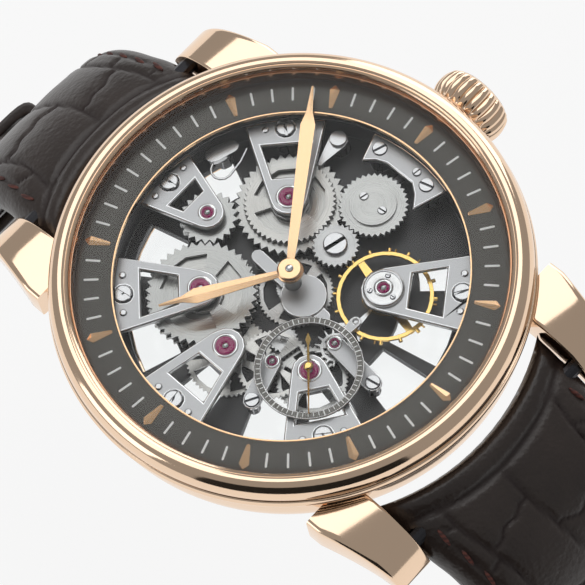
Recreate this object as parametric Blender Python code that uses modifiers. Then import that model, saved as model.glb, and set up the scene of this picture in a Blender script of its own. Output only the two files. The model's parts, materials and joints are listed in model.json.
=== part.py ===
"""Skeleton wristwatch: a hand-wound movement with two barrels, on a leather strap.

Lengths are millimetres while the pieces are drawn, and finish() turns every mesh into metres.
+Z runs from the wrist to the dial, +X to 3 o'clock (the crown) and +Y to 12 o'clock.
The origin is the middle of the case back's outer face.
"""

import math

import bmesh
import bpy
from mathutils import Matrix, Vector

MM = 0.001

# ---- Overall sizes -------------------------------------------------------------------------
CASE_R = 20.75            # bezel, the widest ring of the case
CASE_HEIGHT = 8.73        # case back to the top of the crystal
LUG_GAP = 20.4            # between the two lugs of a pair
LUG_SPAN_Y = 22.4         # spring bar axis from the middle of the case
LUG_BAR_Z = 1.65
STRAP_LENGTH_12 = 75.0    # spring bar to buckle bar
STRAP_LENGTH_6 = 112.0    # spring bar to the tip
BUCKLE_WIDTH = 16.0       # strap width at the buckle

# ---- Clearances ----------------------------------------------------------------------------
SEAT = 0.05               # between faces that rest on each other
RUN = 0.05                # around a turning arbor
STRAP_END_GAP = 0.8       # curved strap end to the case

# ---- Case ----------------------------------------------------------------------------------
ROUND = 48                # facets of a large ring
BODY_R = 20.2             # case middle
BODY_TOP = 4.88
NECK_R = 19.3             # neck that the bezel is pressed on
MOVEMENT_R = 15.95
BACK_RING_R = 18.3
BACK_RING_TOP = 1.2
BACK_GLASS_R = 14.9
BACK_GLASS_THICK = 0.8
DIAL_TOP = 6.2
DIAL_THICK = 0.4
DIAL_IN_R = 15.15
DIAL_OUT_R = 18.7
FLANGE_TOP = 7.2
FLANGE_IN_R = 18.35
CRYSTAL_R = 18.5
CRYSTAL_THICK = 0.95
CRYSTAL_RISE = 0.65       # dome height
LUG_OUT = 15.3            # outer side of a lug at its root
LUG_TIP_OUT = 13.7        # and at its tip
LUG_HOLE_DEPTH = 1.1
SPRING_BAR_R = 0.75

# ---- Movement heights ----------------------------------------------------------------------
PLATE_Z = 1.35
PLATE_TOP = 2.05
GREAT_Z = 2.12            # wheel under the 9 o'clock bridge, and the wheels that mesh with it
WHEEL_THICK = 0.2
DRUM_Z = 2.45
DRUM_TOP = 3.3
WIND_Z = 3.45             # winding wheels
WIND_TOP = 3.85
BRIDGE_Z = 4.1
BRIDGE_TOP = 4.7
PIVOT_Z = 1.6             # lower end of every arbor
PIVOT_R = 0.22

# ---- Gears: tooth counts, modules and centres ---------------------------------------------
BARREL_MODULE = 0.24
BARREL_TEETH = 39
TRANSFER_TEETH = 20
GREAT_PINION_TEETH = 10
GREAT_TEETH = 54
THIRD_PINION_TEETH = 6
THIRD_TEETH = 45
FOURTH_PINION_TEETH = 6
FOURTH_TEETH = 48
ESCAPE_PINION_TEETH = 6
ESCAPE_TEETH = 15
ESCAPE_R = 1.8
CENTRE_TEETH = 48
MINUTE_IDLER_TEETH = 18
CANNON_TEETH = 8
MOTION_TEETH = 24
MOTION_PINION_TEETH = 8
HOUR_TEETH = 32
MOTION_DISTANCE = 1.9
MOTION_ANGLE = -105.0
CROWN_WHEEL_TEETH = 36
WINDING_IDLER_TEETH = 24
RATCHET_TEETH = 48
GREAT_AT = Vector((-8.07, 0.25))
TRANSFER_AT = Vector((0.0, 9.95))
THIRD_AT = Vector((-6.35, -3.4))
FOURTH_AT = Vector((-5.16, -6.7))
ESCAPE_AT = Vector((-1.77, -6.34))
PALLET_AT = Vector((0.85, -6.35))
BALANCE_AT = Vector((4.35, -6.5))
CROWN_WHEEL_AT = Vector((9.9, -0.2))
WINDING_DISTANCE = 4.9    # crown wheel to winding idler

# ---- Bridges -------------------------------------------------------------------------------
BRIDGE_R = 15.35          # outer edge of every bridge
SCREW_CIRCLE = 14.45
SCREW_HEAD_R = 0.75
SCREW_HEAD_THICK = 0.4
SCREW_R = 0.4

# ---- Balance -------------------------------------------------------------------------------
BALANCE_R = 4.15
BALANCE_RIM = 0.35
BALANCE_Z = 3.1
BALANCE_THICK = 0.25

# ---- Dial side -----------------------------------------------------------------------------
SECONDS_RING_R = 4.65
SECONDS_RING_IN = 4.02
SECONDS_RING_Z = 5.05
SECONDS_RING_THICK = 0.3
HOUR_HAND_Z = 6.5
MINUTE_HAND_Z = 6.92
HAND_THICK = 0.16
HOUR_LENGTH = 11.4
MINUTE_LENGTH = 17.3
SECONDS_LENGTH = 4.3
HOUR_ANGLE = 303.9        # clockwise from 12 o'clock
MINUTE_ANGLE = 54.0
SECONDS_ANGLE = 227.0
ARBOR_R = 0.3
PIPE_R = 0.66

# ---- Crown ---------------------------------------------------------------------------------
CROWN_R = 3.55
CROWN_LENGTH = 3.1
CROWN_X = 20.95
CROWN_Z = 2.9
CROWN_FLUTES = 24
STEM_R = 0.5
STEM_INNER_X = 11.7

# ---- Strap and buckle ----------------------------------------------------------------------
STRAP_WIDTH = LUG_GAP - 0.6
STRAP_THICK_LUG = 3.6
STRAP_THICK = 2.6
STRAP_TAPER_END = 45.0
STRAP_BEND_END = 17.0
STRAP_ANGLE_LUG = 22.0    # below the horizontal, at the spring bar
STRAP_ANGLE = 67.0        # and where the strap hangs straight
STRAP_TAIL_CURL = 20.0
BUCKLE_BAR_R = 0.8
BUCKLE_THICK = 2.0
BUCKLE_LENGTH = 11.5
TANG_WIDTH = 1.6
KEEPER_WALL = 1.1
KEEPER_LENGTH = 5.0
KEEPER_GAP = 0.3
HOLE_R = 0.9
HOLE_PITCH = 6.5
HOLE_COUNT = 7


# ---- Working tools -------------------------------------------------------------------------
for old in list(bpy.data.objects):
    bpy.data.objects.remove(old, do_unlink=True)

PARTS = bpy.data.collections.new("skeleton_wristwatch")
bpy.context.scene.collection.children.link(PARTS)
MATERIALS = {}


def material(name, colour, roughness, metallic):
    """A plain Principled material, made once for each name."""
    if name not in MATERIALS:
        made = bpy.data.materials.new(name)
        made.use_nodes = True
        shader = made.node_tree.nodes["Principled BSDF"]
        shader.inputs["Base Color"].default_value = (*colour, 1.0)
        shader.inputs["Roughness"].default_value = roughness
        shader.inputs["Metallic"].default_value = metallic
        MATERIALS[name] = made
    return MATERIALS[name]


def rose_gold():
    return material("rose_gold", (0.86, 0.62, 0.42), 0.12, 1.0)


def frosted_steel():
    return material("frosted_steel", (0.62, 0.62, 0.62), 0.38, 1.0)


def wheel_steel():
    return material("wheel_steel", (0.58, 0.57, 0.55), 0.25, 1.0)


def dark_plate():
    return material("dark_plate", (0.075, 0.073, 0.075), 0.42, 0.8)


def dial_grey():
    return material("dial_grey", (0.13, 0.12, 0.11), 0.4, 0.7)


def balance_gold():
    return material("balance_gold", (0.85, 0.58, 0.22), 0.22, 1.0)


def polished_steel():
    return material("polished_steel", (0.75, 0.75, 0.76), 0.12, 1.0)


def sapphire():
    return material("sapphire", (0.95, 0.97, 1.0), 0.02, 0.0)


def leather():
    return material("brown_leather", (0.055, 0.035, 0.028), 0.45, 0.0)


def as_mesh(obj, weld=True):
    """Replace an object's modifiers or curve by the mesh that they give."""
    evaluated = obj.evaluated_get(bpy.context.evaluated_depsgraph_get())
    mesh = bpy.data.meshes.new_from_object(evaluated)
    solid = bpy.data.objects.new(obj.name, mesh)
    PARTS.objects.link(solid)
    solid.matrix_world = obj.matrix_world
    bpy.data.objects.remove(obj, do_unlink=True)
    if weld:
        edit(solid, lambda bm: bmesh.ops.remove_doubles(bm, verts=bm.verts, dist=1e-4))
    return solid


def edit(obj, change):
    """Run one change on an object's mesh, then point its faces outwards."""
    bm = bmesh.new()
    bm.from_mesh(obj.data)
    change(bm)
    bmesh.ops.recalc_face_normals(bm, faces=bm.faces)
    bm.to_mesh(obj.data)
    bm.free()
    return obj


def prism(loops, z0, z1):
    """A flat outline with its holes, from z0 to z1."""
    curve = bpy.data.curves.new("outline", "CURVE")
    curve.dimensions = "2D"
    curve.fill_mode = "BOTH"
    curve.extrude = (z1 - z0) / 2
    for loop in loops:
        spline = curve.splines.new("POLY")
        spline.points.add(len(loop) - 1)
        for point, (x, y) in zip(spline.points, loop):
            point.co = (x, y, 0.0, 1.0)
        spline.use_cyclic_u = True
    obj = bpy.data.objects.new("outline", curve)
    PARTS.objects.link(obj)
    bpy.context.view_layer.update()
    solid = as_mesh(obj)
    solid.data.transform(Matrix.Translation((0.0, 0.0, (z0 + z1) / 2)))
    return solid


def turned(profile, steps=ROUND, closed=True):
    """A profile of (radius, height) points turned round Z; an open one starts and ends at radius 0."""
    mesh = bpy.data.meshes.new("profile")
    edges = [(i, i + 1) for i in range(len(profile) - 1)]
    if closed:
        edges.append((len(profile) - 1, 0))
    mesh.from_pydata([(r, 0.0, z) for r, z in profile], edges, [])
    obj = bpy.data.objects.new("profile", mesh)
    PARTS.objects.link(obj)
    screw = obj.modifiers.new("turn", "SCREW")
    screw.steps = steps
    screw.render_steps = steps
    screw.use_merge_vertices = True
    screw.merge_threshold = 0.0001
    bpy.context.view_layer.update()
    return as_mesh(obj)


def cylinder(radius, z0, z1, at=(0.0, 0.0), segments=16):
    """A round bar along Z."""
    mesh = bpy.data.meshes.new("cylinder")
    bm = bmesh.new()
    bmesh.ops.create_cone(bm, cap_ends=True, segments=segments, radius1=radius, radius2=radius,
                          depth=z1 - z0,
                          matrix=Matrix.Translation((at[0], at[1], (z0 + z1) / 2)))
    bm.to_mesh(mesh)
    bm.free()
    obj = bpy.data.objects.new("cylinder", mesh)
    PARTS.objects.link(obj)
    return obj


def bar_x(radius, x0, x1, y, z, segments=16):
    """A round bar along X."""
    obj = cylinder(radius, x0, x1, segments=segments)
    obj.data.transform(Matrix.Translation((0.0, y, z)) @ Matrix.Rotation(math.pi / 2, 4, "Y"))
    return obj


def box(x0, x1, y0, y1, z0, z1):
    """A block between two corners."""
    mesh = bpy.data.meshes.new("box")
    bm = bmesh.new()
    bmesh.ops.create_cube(bm, size=1.0)
    bm.to_mesh(mesh)
    bm.free()
    mesh.transform(Matrix.Translation(((x0 + x1) / 2, (y0 + y1) / 2, (z0 + z1) / 2))
                   @ Matrix.Diagonal((x1 - x0, y1 - y0, z1 - z0, 1.0)))
    obj = bpy.data.objects.new("box", mesh)
    PARTS.objects.link(obj)
    return obj


def boolean(base, tools, operation):
    """Join the tools to the base, or cut them out of it, and remove them."""
    for tool in tools:
        modifier = base.modifiers.new(operation.lower(), "BOOLEAN")
        modifier.operation = operation
        modifier.object = tool
    bpy.context.view_layer.update()
    solid = as_mesh(base)
    for tool in tools:
        bpy.data.objects.remove(tool, do_unlink=True)
    return solid


def union(base, *tools):
    return boolean(base, tools, "UNION")


def cut(base, *tools):
    return boolean(base, tools, "DIFFERENCE")


def finish(obj, name, finish_material, origin=(0.0, 0.0, 0.0)):
    """Name a piece, give it its material, scale it to metres and set its origin on its axis."""
    origin = Vector(origin)
    obj.data.transform(Matrix.Scale(MM, 4) @ Matrix.Translation(-origin))
    obj.location = origin * MM
    obj.name = name
    obj.data.name = name
    obj.data.materials.clear()
    obj.data.materials.append(finish_material)
    obj.data.shade_smooth()
    obj.data.set_sharp_from_angle(angle=math.radians(30))
    return obj


# ---- Outlines ------------------------------------------------------------------------------
def polar(radius, degrees, at=(0.0, 0.0)):
    angle = math.radians(degrees)
    return Vector((at[0] + radius * math.cos(angle), at[1] + radius * math.sin(angle)))


def arc(radius, start, end, count, at=(0.0, 0.0)):
    """Points along an arc, angles in degrees."""
    return [polar(radius, start + (end - start) * i / (count - 1), at) for i in range(count)]


def circle(radius, at=(0.0, 0.0), count=16):
    return [polar(radius, 360.0 * i / count, at) for i in range(count)]


def sector(inner, outer, start, end, count=3, at=(0.0, 0.0)):
    """A window between two radii and two angles."""
    return arc(outer, start, end, count, at) + arc(inner, end, start, count, at)


def gear_loop(teeth, pitch_r, phase, at=(0.0, 0.0), addendum=0.75, dedendum=1.15):
    """Pointed teeth: a tip at the phase angle (degrees), then a root, all the way round.

    Addendum and dedendum are in modules. The dedendum is the larger one, so that two such
    wheels at their pitch distance run with backlash.
    """
    module = 2.0 * pitch_r / teeth
    points = []
    for i in range(teeth):
        points.append(polar(pitch_r + addendum * module, phase + 360.0 * i / teeth, at))
        points.append(polar(pitch_r - dedendum * module, phase + 360.0 * (i + 0.5) / teeth, at))
    return points


def pitch_radii(distance, teeth_a, teeth_b):
    """Pitch radii of two wheels from the distance between their arbors."""
    return distance * teeth_a / (teeth_a + teeth_b), distance * teeth_b / (teeth_a + teeth_b)


def meshed_phase(at_a, teeth_a, phase_a, at_b, teeth_b):
    """Phase of wheel b that puts its gap where wheel a has a tooth."""
    toward = math.degrees(math.atan2(at_b[1] - at_a[1], at_b[0] - at_a[0]))
    return toward + 180.0 - (phase_a - toward) * teeth_a / teeth_b - 180.0 / teeth_b


def meeting_point(a, radius_a, b, radius_b, side):
    """The point at two distances from two centres, on the left (+1) or right (-1) of a to b."""
    span = b - a
    along = (radius_a ** 2 - radius_b ** 2 + span.length_squared) / (2 * span.length)
    across = math.sqrt(max(radius_a ** 2 - along ** 2, 0.0))
    forward = span.normalized()
    return a + forward * along + Vector((-forward.y, forward.x)) * across * side


# ---- Gear layout, from the centres and tooth counts ---------------------------------------
BARREL_R = BARREL_MODULE * BARREL_TEETH / 2
TRANSFER_R = BARREL_MODULE * TRANSFER_TEETH / 2
GREAT_PINION_R = BARREL_MODULE * GREAT_PINION_TEETH / 2
LEFT_BARREL_AT = meeting_point(TRANSFER_AT, BARREL_R + TRANSFER_R,
                               GREAT_AT, BARREL_R + GREAT_PINION_R, -1)
RIGHT_BARREL_AT = Vector((2 * TRANSFER_AT.x - LEFT_BARREL_AT.x, LEFT_BARREL_AT.y))
GREAT_R, THIRD_PINION_R = pitch_radii((THIRD_AT - GREAT_AT).length, GREAT_TEETH,
                                      THIRD_PINION_TEETH)
GREAT_MODULE = 2 * GREAT_R / GREAT_TEETH
CENTRE_R = GREAT_MODULE * CENTRE_TEETH / 2
MINUTE_IDLER_R = GREAT_MODULE * MINUTE_IDLER_TEETH / 2
MINUTE_IDLER_AT = meeting_point(GREAT_AT, GREAT_R + MINUTE_IDLER_R,
                                Vector((0.0, 0.0)), CENTRE_R + MINUTE_IDLER_R, -1)
THIRD_R, FOURTH_PINION_R = pitch_radii((FOURTH_AT - THIRD_AT).length, THIRD_TEETH,
                                       FOURTH_PINION_TEETH)
FOURTH_R, ESCAPE_PINION_R = pitch_radii((ESCAPE_AT - FOURTH_AT).length, FOURTH_TEETH,
                                        ESCAPE_PINION_TEETH)
CANNON_R, MOTION_R = pitch_radii(MOTION_DISTANCE, CANNON_TEETH, MOTION_TEETH)
MOTION_PINION_R, HOUR_R = pitch_radii(MOTION_DISTANCE, MOTION_PINION_TEETH, HOUR_TEETH)
MOTION_AT = polar(MOTION_DISTANCE, MOTION_ANGLE)
CROWN_WHEEL_R, WINDING_IDLER_R = pitch_radii(WINDING_DISTANCE, CROWN_WHEEL_TEETH,
                                             WINDING_IDLER_TEETH)
RATCHET_R = WINDING_IDLER_R * RATCHET_TEETH / WINDING_IDLER_TEETH
WINDING_IDLER_AT = meeting_point(CROWN_WHEEL_AT, WINDING_DISTANCE,
                                 RIGHT_BARREL_AT, RATCHET_R + WINDING_IDLER_R, 1)

# ---- Bridge table: name, foot angle, jewel, half width of the foot, end radius ------------
BRIDGES = (
    ("barrel_bridge_left", 135.0, LEFT_BARREL_AT, 3.55, 1.65, PIVOT_R),
    ("barrel_bridge_right", 45.0, RIGHT_BARREL_AT, 3.55, 1.65, PIVOT_R),
    ("top_bridge", 90.0, TRANSFER_AT, 3.1, 1.5, PIVOT_R),
    ("left_bridge", 179.0, GREAT_AT, 3.35, 1.7, PIVOT_R),
    ("seconds_bridge", 232.9, FOURTH_AT, 3.55, 1.55, PIVOT_R),
    ("balance_bridge", 305.4, BALANCE_AT, 3.55, 2.0, PIVOT_R),
)


# ---- Case ----------------------------------------------------------------------------------
def lug(side_x, side_y):
    """One lug: its side outline, drawn out across X and narrowed towards the tip."""
    bar_y = LUG_SPAN_Y
    outline = [(15.6, 4.7), (18.6, 4.72), (bar_y - 1.7, 4.25), (bar_y, 3.2), (bar_y + 1.3, 1.75),
               (bar_y + 1.95, 0.45), (bar_y + 1.85, -0.25), (bar_y + 1.1, -0.45),
               (bar_y - 0.3, 0.2), (bar_y - 2.4, 0.95), (15.6, 1.2)]
    half = LUG_GAP / 2
    solid = prism([outline], half, LUG_OUT)
    solid.data.transform(Matrix(((0, 0, 1, 0), (1, 0, 0, 0), (0, 1, 0, 0), (0, 0, 0, 1))))
    tip_y = bar_y + 1.95
    for vertex in solid.data.vertices:
        if vertex.co.x > half + 1.0:
            share = max(0.0, (vertex.co.y - 17.0) / (tip_y - 17.0))
            vertex.co.x = LUG_OUT + (LUG_TIP_OUT - LUG_OUT) * share
    hole = bar_x(SPRING_BAR_R + RUN, half - 1.0, half + LUG_HOLE_DEPTH, LUG_SPAN_Y, LUG_BAR_Z, 10)
    solid = cut(solid, hole)
    solid.data.transform(Matrix.Diagonal((side_x, side_y, 1.0, 1.0)))
    return edit(solid, lambda bm: None)


def case_middle():
    """The case body: a turned ring with four lugs and the hole for the winding stem."""
    bore = MOVEMENT_R + 0.15
    ring = turned([(bore, BACK_RING_TOP + SEAT), (bore, DIAL_TOP - DIAL_THICK - SEAT),
                   (NECK_R, DIAL_TOP - DIAL_THICK - SEAT), (NECK_R, BODY_TOP),
                   (BODY_R, BODY_TOP), (BODY_R - 0.05, 2.0),
                   (BODY_R - 1.0, 0.4), (BACK_RING_R + 0.1, 0.3),
                   (BACK_RING_R + 0.1, BACK_RING_TOP + SEAT)])
    lugs = [lug(side_x, side_y) for side_x in (-1, 1) for side_y in (-1, 1)]
    body = union(ring, *lugs)
    body = cut(body, bar_x(STEM_R + 0.15, 14.0, 22.0, 0.0, CROWN_Z))
    return finish(body, "case_middle", rose_gold())


def bezel():
    """The bezel: a broad rounded band over a groove and a thin lower ring."""
    bottom = BODY_TOP + SEAT + 0.02
    neck = DIAL_TOP - DIAL_THICK
    seat = CRYSTAL_R + 0.12
    profile = [(NECK_R + 0.1, bottom), (NECK_R + 0.1, neck), (DIAL_OUT_R + 0.1, neck),
               (DIAL_OUT_R + 0.1, FLANGE_TOP), (seat, FLANGE_TOP + SEAT),
               (seat, 7.7), (seat + 0.45, 7.9)]
    band_r = CASE_R - 0.2
    profile += [(band_r - 1.1, 8.0), (band_r - 0.5, 7.8), (band_r - 0.1, 7.3), (band_r, 6.5),
                (band_r - 0.2, 6.25), (CASE_R - 0.08, 6.06), (CASE_R, 5.65),
                (CASE_R - 0.3, bottom)]
    return finish(turned(profile), "bezel", rose_gold())


def crystal():
    """The domed sapphire crystal, an even shell that stands in the bezel."""
    edge_top = CASE_HEIGHT - CRYSTAL_RISE
    rings = 3
    outer = [(CRYSTAL_R * i / rings, CASE_HEIGHT - CRYSTAL_RISE * (i / rings) ** 2)
             for i in range(rings + 1)]
    inner = [(r, z - CRYSTAL_THICK) for r, z in reversed(outer)]
    inner[0] = (CRYSTAL_R, max(edge_top - CRYSTAL_THICK, FLANGE_TOP + SEAT))
    inner = inner[:-1] + [(0.0, CASE_HEIGHT - CRYSTAL_THICK)]
    return finish(turned(outer + inner, closed=False), "crystal", sapphire())


def flange_ring():
    """The sloping ring between the dial and the crystal."""
    base = DIAL_TOP + SEAT
    return finish(turned([(FLANGE_IN_R, base), (FLANGE_IN_R + 0.12, FLANGE_TOP),
                          (DIAL_OUT_R, FLANGE_TOP), (DIAL_OUT_R, base)]),
                  "flange_ring", rose_gold())


def dial_ring():
    """The open dial: a flat ring that carries the hour markers and minute ticks."""
    return finish(turned([(DIAL_IN_R, DIAL_TOP - DIAL_THICK), (DIAL_IN_R, DIAL_TOP),
                          (DIAL_OUT_R, DIAL_TOP), (DIAL_OUT_R, DIAL_TOP - DIAL_THICK)]),
                  "dial_ring", dial_grey())


def case_back():
    """The screwed back ring and its flat sapphire window."""
    inner = BACK_GLASS_R + SEAT
    ring = turned([(inner, 0.1), (inner, BACK_GLASS_THICK + SEAT),
                   (inner - 0.6, BACK_GLASS_THICK + SEAT), (inner - 0.6, BACK_RING_TOP),
                   (BACK_RING_R, BACK_RING_TOP), (BACK_RING_R, 0.1)])
    finish(ring, "case_back_ring", rose_gold())
    finish(cylinder(BACK_GLASS_R, 0.0, BACK_GLASS_THICK, segments=ROUND), "case_back_crystal",
           sapphire())


# ---- Movement frame ------------------------------------------------------------------------
PLATE_WINDOWS = ((103, 123, 10.6, 14.4), (142, 160, 11.0, 14.6), (172, 188, 9.6, 12.9),
                 (203, 221, 9.4, 14.6), (228, 247, 9.3, 12.6), (257, 276, 9.2, 14.3),
                 (281, 299, 9.2, 13.9), (311, 323, 10.6, 13.7), (66, 79, 10.6, 14.2))
COCK_POSTS = (Vector((-10.05, -4.5)), Vector((-2.34, -11.2)))
CAP_POSTS = (Vector((0.0, 4.1)), Vector((-0.6, -4.05)))
CLICK_AT = Vector((12.6, 6.3))
CLICK_SPRING_AT = Vector((5.3, 13.4))


def mainplate():
    """The plate: an open-worked disc with a rim, and pillars that carry bridges and cocks."""
    low, high = PLATE_Z - 1.0, PLATE_TOP + 1.0
    holes = [prism([sector(inner, outer, start, end)], low, high)
             for start, end, inner, outer in PLATE_WINDOWS]
    arbors = (GREAT_AT, THIRD_AT, FOURTH_AT, ESCAPE_AT, PALLET_AT, BALANCE_AT, TRANSFER_AT,
              LEFT_BARREL_AT, RIGHT_BARREL_AT, MINUTE_IDLER_AT, CROWN_WHEEL_AT,
              WINDING_IDLER_AT)
    holes += [cylinder(PIVOT_R + RUN, low, high, at, 6) for at in arbors]
    holes.append(cylinder(ARBOR_R + RUN, low, high, segments=8))
    rim_in = MOVEMENT_R - 0.5
    plate = turned([(0.0, PLATE_TOP), (rim_in, PLATE_TOP), (rim_in, BRIDGE_Z + 0.5),
                    (MOVEMENT_R, BRIDGE_Z + 0.5), (MOVEMENT_R, PLATE_Z), (0.0, PLATE_Z)],
                   closed=False)
    plate = cut(plate, *holes)
    pillars = []
    for name, angle, jewel, half, end, pivot in BRIDGES:
        pillars.append(cylinder(1.15, PLATE_TOP - 0.1, BRIDGE_Z - SEAT,
                                polar(SCREW_CIRCLE - 0.1, angle), 8))
    for foot_y in (2.7, -2.8):
        pillars.append(cylinder(0.95, PLATE_TOP - 0.1, BRIDGE_Z - SEAT, (13.9, foot_y), 8))
    for at in COCK_POSTS:
        pillars.append(cylinder(0.6, PLATE_TOP - 0.1, WIND_Z - SEAT, at, 8))
    for at in CAP_POSTS:
        pillars.append(cylinder(0.42, PLATE_TOP - 0.1, WIND_Z + 0.15 - SEAT, at, 8))
    pillars.append(cylinder(0.9, PLATE_TOP - 0.1, WIND_Z - SEAT, CLICK_AT, 8))
    pillars.append(cylinder(0.9, PLATE_TOP - 0.1, WIND_Z - SEAT, CLICK_SPRING_AT, 8))
    body = union(plate, *pillars)
    stem = bar_x(STEM_R + 0.1, 13.0, 17.0, 0.0, CROWN_Z, 12)
    screws = [cylinder(SCREW_R + 0.04, PLATE_TOP + 0.3, BRIDGE_Z + 0.2,
                       polar(SCREW_CIRCLE, angle), 6)
              for name, angle, jewel, half, end, pivot in BRIDGES]
    return finish(cut(body, stem, *screws), "mainplate", dark_plate())


def bridge(name, angle, jewel, foot_half, end_r, pivot_r):
    """A bridge: a wide foot on the rim, two arms round a window, and a round end at the jewel."""
    turn = Matrix.Rotation(math.radians(angle), 2)
    local = turn.transposed() @ jewel
    edge = math.degrees(math.asin(foot_half / BRIDGE_R))
    corner = Vector((BRIDGE_R * math.cos(math.radians(edge)), foot_half))
    lean = math.degrees(math.atan2(foot_half - end_r, corner.x - local.x))
    outline = arc(BRIDGE_R, -edge, edge, 7) + arc(end_r, 90.0 + lean, 270.0 - lean, 7, local)
    window_in = local.x + end_r + 0.25
    window_out = SCREW_CIRCLE - SCREW_HEAD_R - 0.75
    slope = (foot_half - end_r) / (corner.x - local.x)
    arm = 0.85

    def half_width(x):
        return end_r + slope * (x - local.x) - arm

    window = [(window_out, -half_width(window_out)), (window_out, half_width(window_out)),
              (window_in, half_width(window_in) + local.y * 0.5),
              (window_in, -half_width(window_in) + local.y * 0.5)]
    loops = [outline, window, circle(pivot_r + RUN, local, 10)]
    plate = prism([[turn @ Vector(point) for point in loop] for loop in loops],
                  BRIDGE_Z, BRIDGE_TOP)
    at = polar(SCREW_CIRCLE, angle)
    head = cylinder(SCREW_HEAD_R + RUN, BRIDGE_TOP - SCREW_HEAD_THICK + 0.05, BRIDGE_TOP + 1.0,
                    at, 12)
    shank = cylinder(SCREW_R + 0.04, BRIDGE_Z - 1.0, BRIDGE_TOP, at, 6)
    finish(cut(plate, head, shank), name, frosted_steel())
    screw = cylinder(SCREW_HEAD_R, BRIDGE_TOP - SCREW_HEAD_THICK + 0.1, BRIDGE_TOP + 0.08, at, 12)
    screw = union(screw, cylinder(SCREW_R, PLATE_TOP + 0.4, BRIDGE_TOP - 0.1, at, 6))
    along = (jewel - at).normalized()
    slot = box(-SCREW_HEAD_R * 1.2, SCREW_HEAD_R * 1.2, -0.08, 0.08, BRIDGE_TOP - 0.08,
               BRIDGE_TOP + 0.3)
    slot.data.transform(Matrix.Translation((at.x, at.y, 0.0))
                        @ Matrix.Rotation(math.atan2(along.y, along.x) + 0.5, 4, "Z"))
    finish(cut(screw, slot), "screw_" + name, polished_steel())


def crown_wheel_bridge():
    """The bridge over the winding stem, with two feet on the rim."""
    outline = arc(BRIDGE_R, -17.2, 15.2, 7) + [(12.1, 3.1), (12.9, 2.2), (13.3, 1.2),
                                                 (13.3, -1.6), (12.6, -2.5), (11.4, -3.4)]
    plate = prism([outline], BRIDGE_Z, BRIDGE_TOP)
    return finish(plate, "crown_wheel_bridge", frosted_steel())


def stadium(a, b, radius_a, radius_b, count=6):
    """Outline of a bar with round ends round two points."""
    toward = math.degrees(math.atan2(b[1] - a[1], b[0] - a[0]))
    lean = math.degrees(math.asin((radius_a - radius_b) / (Vector(b) - Vector(a)).length))
    return (arc(radius_a, toward + 90.0 - lean, toward + 270.0 + lean, count, a)
            + arc(radius_b, toward - 90.0 + lean, toward + 90.0 - lean, count, b))


def cocks():
    """The centre cap over the motion work, and the cocks of the third and escape wheels."""
    low = WIND_Z + 0.15
    cap = prism([stadium(CAP_POSTS[0], CAP_POSTS[1], 0.6, 0.6)], low, low + 0.4)
    dome = cylinder(2.0, low + 0.03, low + 0.6, (-0.3, -1.5), 24)
    cap = union(cap, dome)
    cap = cut(cap, cylinder(PIPE_R + RUN, low - 1.0, low + 1.0),
              cylinder(PIVOT_R + RUN, low - 1.0, low + 0.3, MOTION_AT, 8))
    finish(cap, "centre_cap", polished_steel())
    third = prism([stadium(COCK_POSTS[0], THIRD_AT, 0.8, 0.8),
                   circle(PIVOT_R + RUN, THIRD_AT, 8)], WIND_Z, WIND_TOP)
    finish(third, "third_cock", frosted_steel())
    escape = prism([stadium(COCK_POSTS[1], ESCAPE_AT, 0.8, 0.8),
                    circle(PIVOT_R + RUN, ESCAPE_AT, 8)], WIND_Z, WIND_TOP)
    arm = prism([stadium(ESCAPE_AT + Vector((0.62, 0.0)), PALLET_AT, 0.3, 0.5)], WIND_Z, WIND_TOP)
    escape = union(escape, arm)
    escape = cut(escape, cylinder(PIVOT_R + RUN, WIND_Z - 1.0, WIND_TOP + 1.0, PALLET_AT, 8))
    finish(escape, "escape_cock", frosted_steel())


def seconds_ring():
    """The small-seconds chapter ring on two feet."""
    at = FOURTH_AT
    base = SECONDS_RING_Z
    ring = prism([circle(SECONDS_RING_R, at, 36), circle(SECONDS_RING_IN, at, 36)],
                 base, base + SECONDS_RING_THICK)
    feet = []
    middle_r = (SECONDS_RING_R + SECONDS_RING_IN) / 2
    for angle in (232.9 - 23.0, 232.9 + 23.0):
        feet.append(cylinder(0.26, BRIDGE_TOP + SEAT, base + 0.1, polar(middle_r, angle, at), 8))
    return finish(union(ring, *feet), "seconds_ring", dial_grey())


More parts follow.
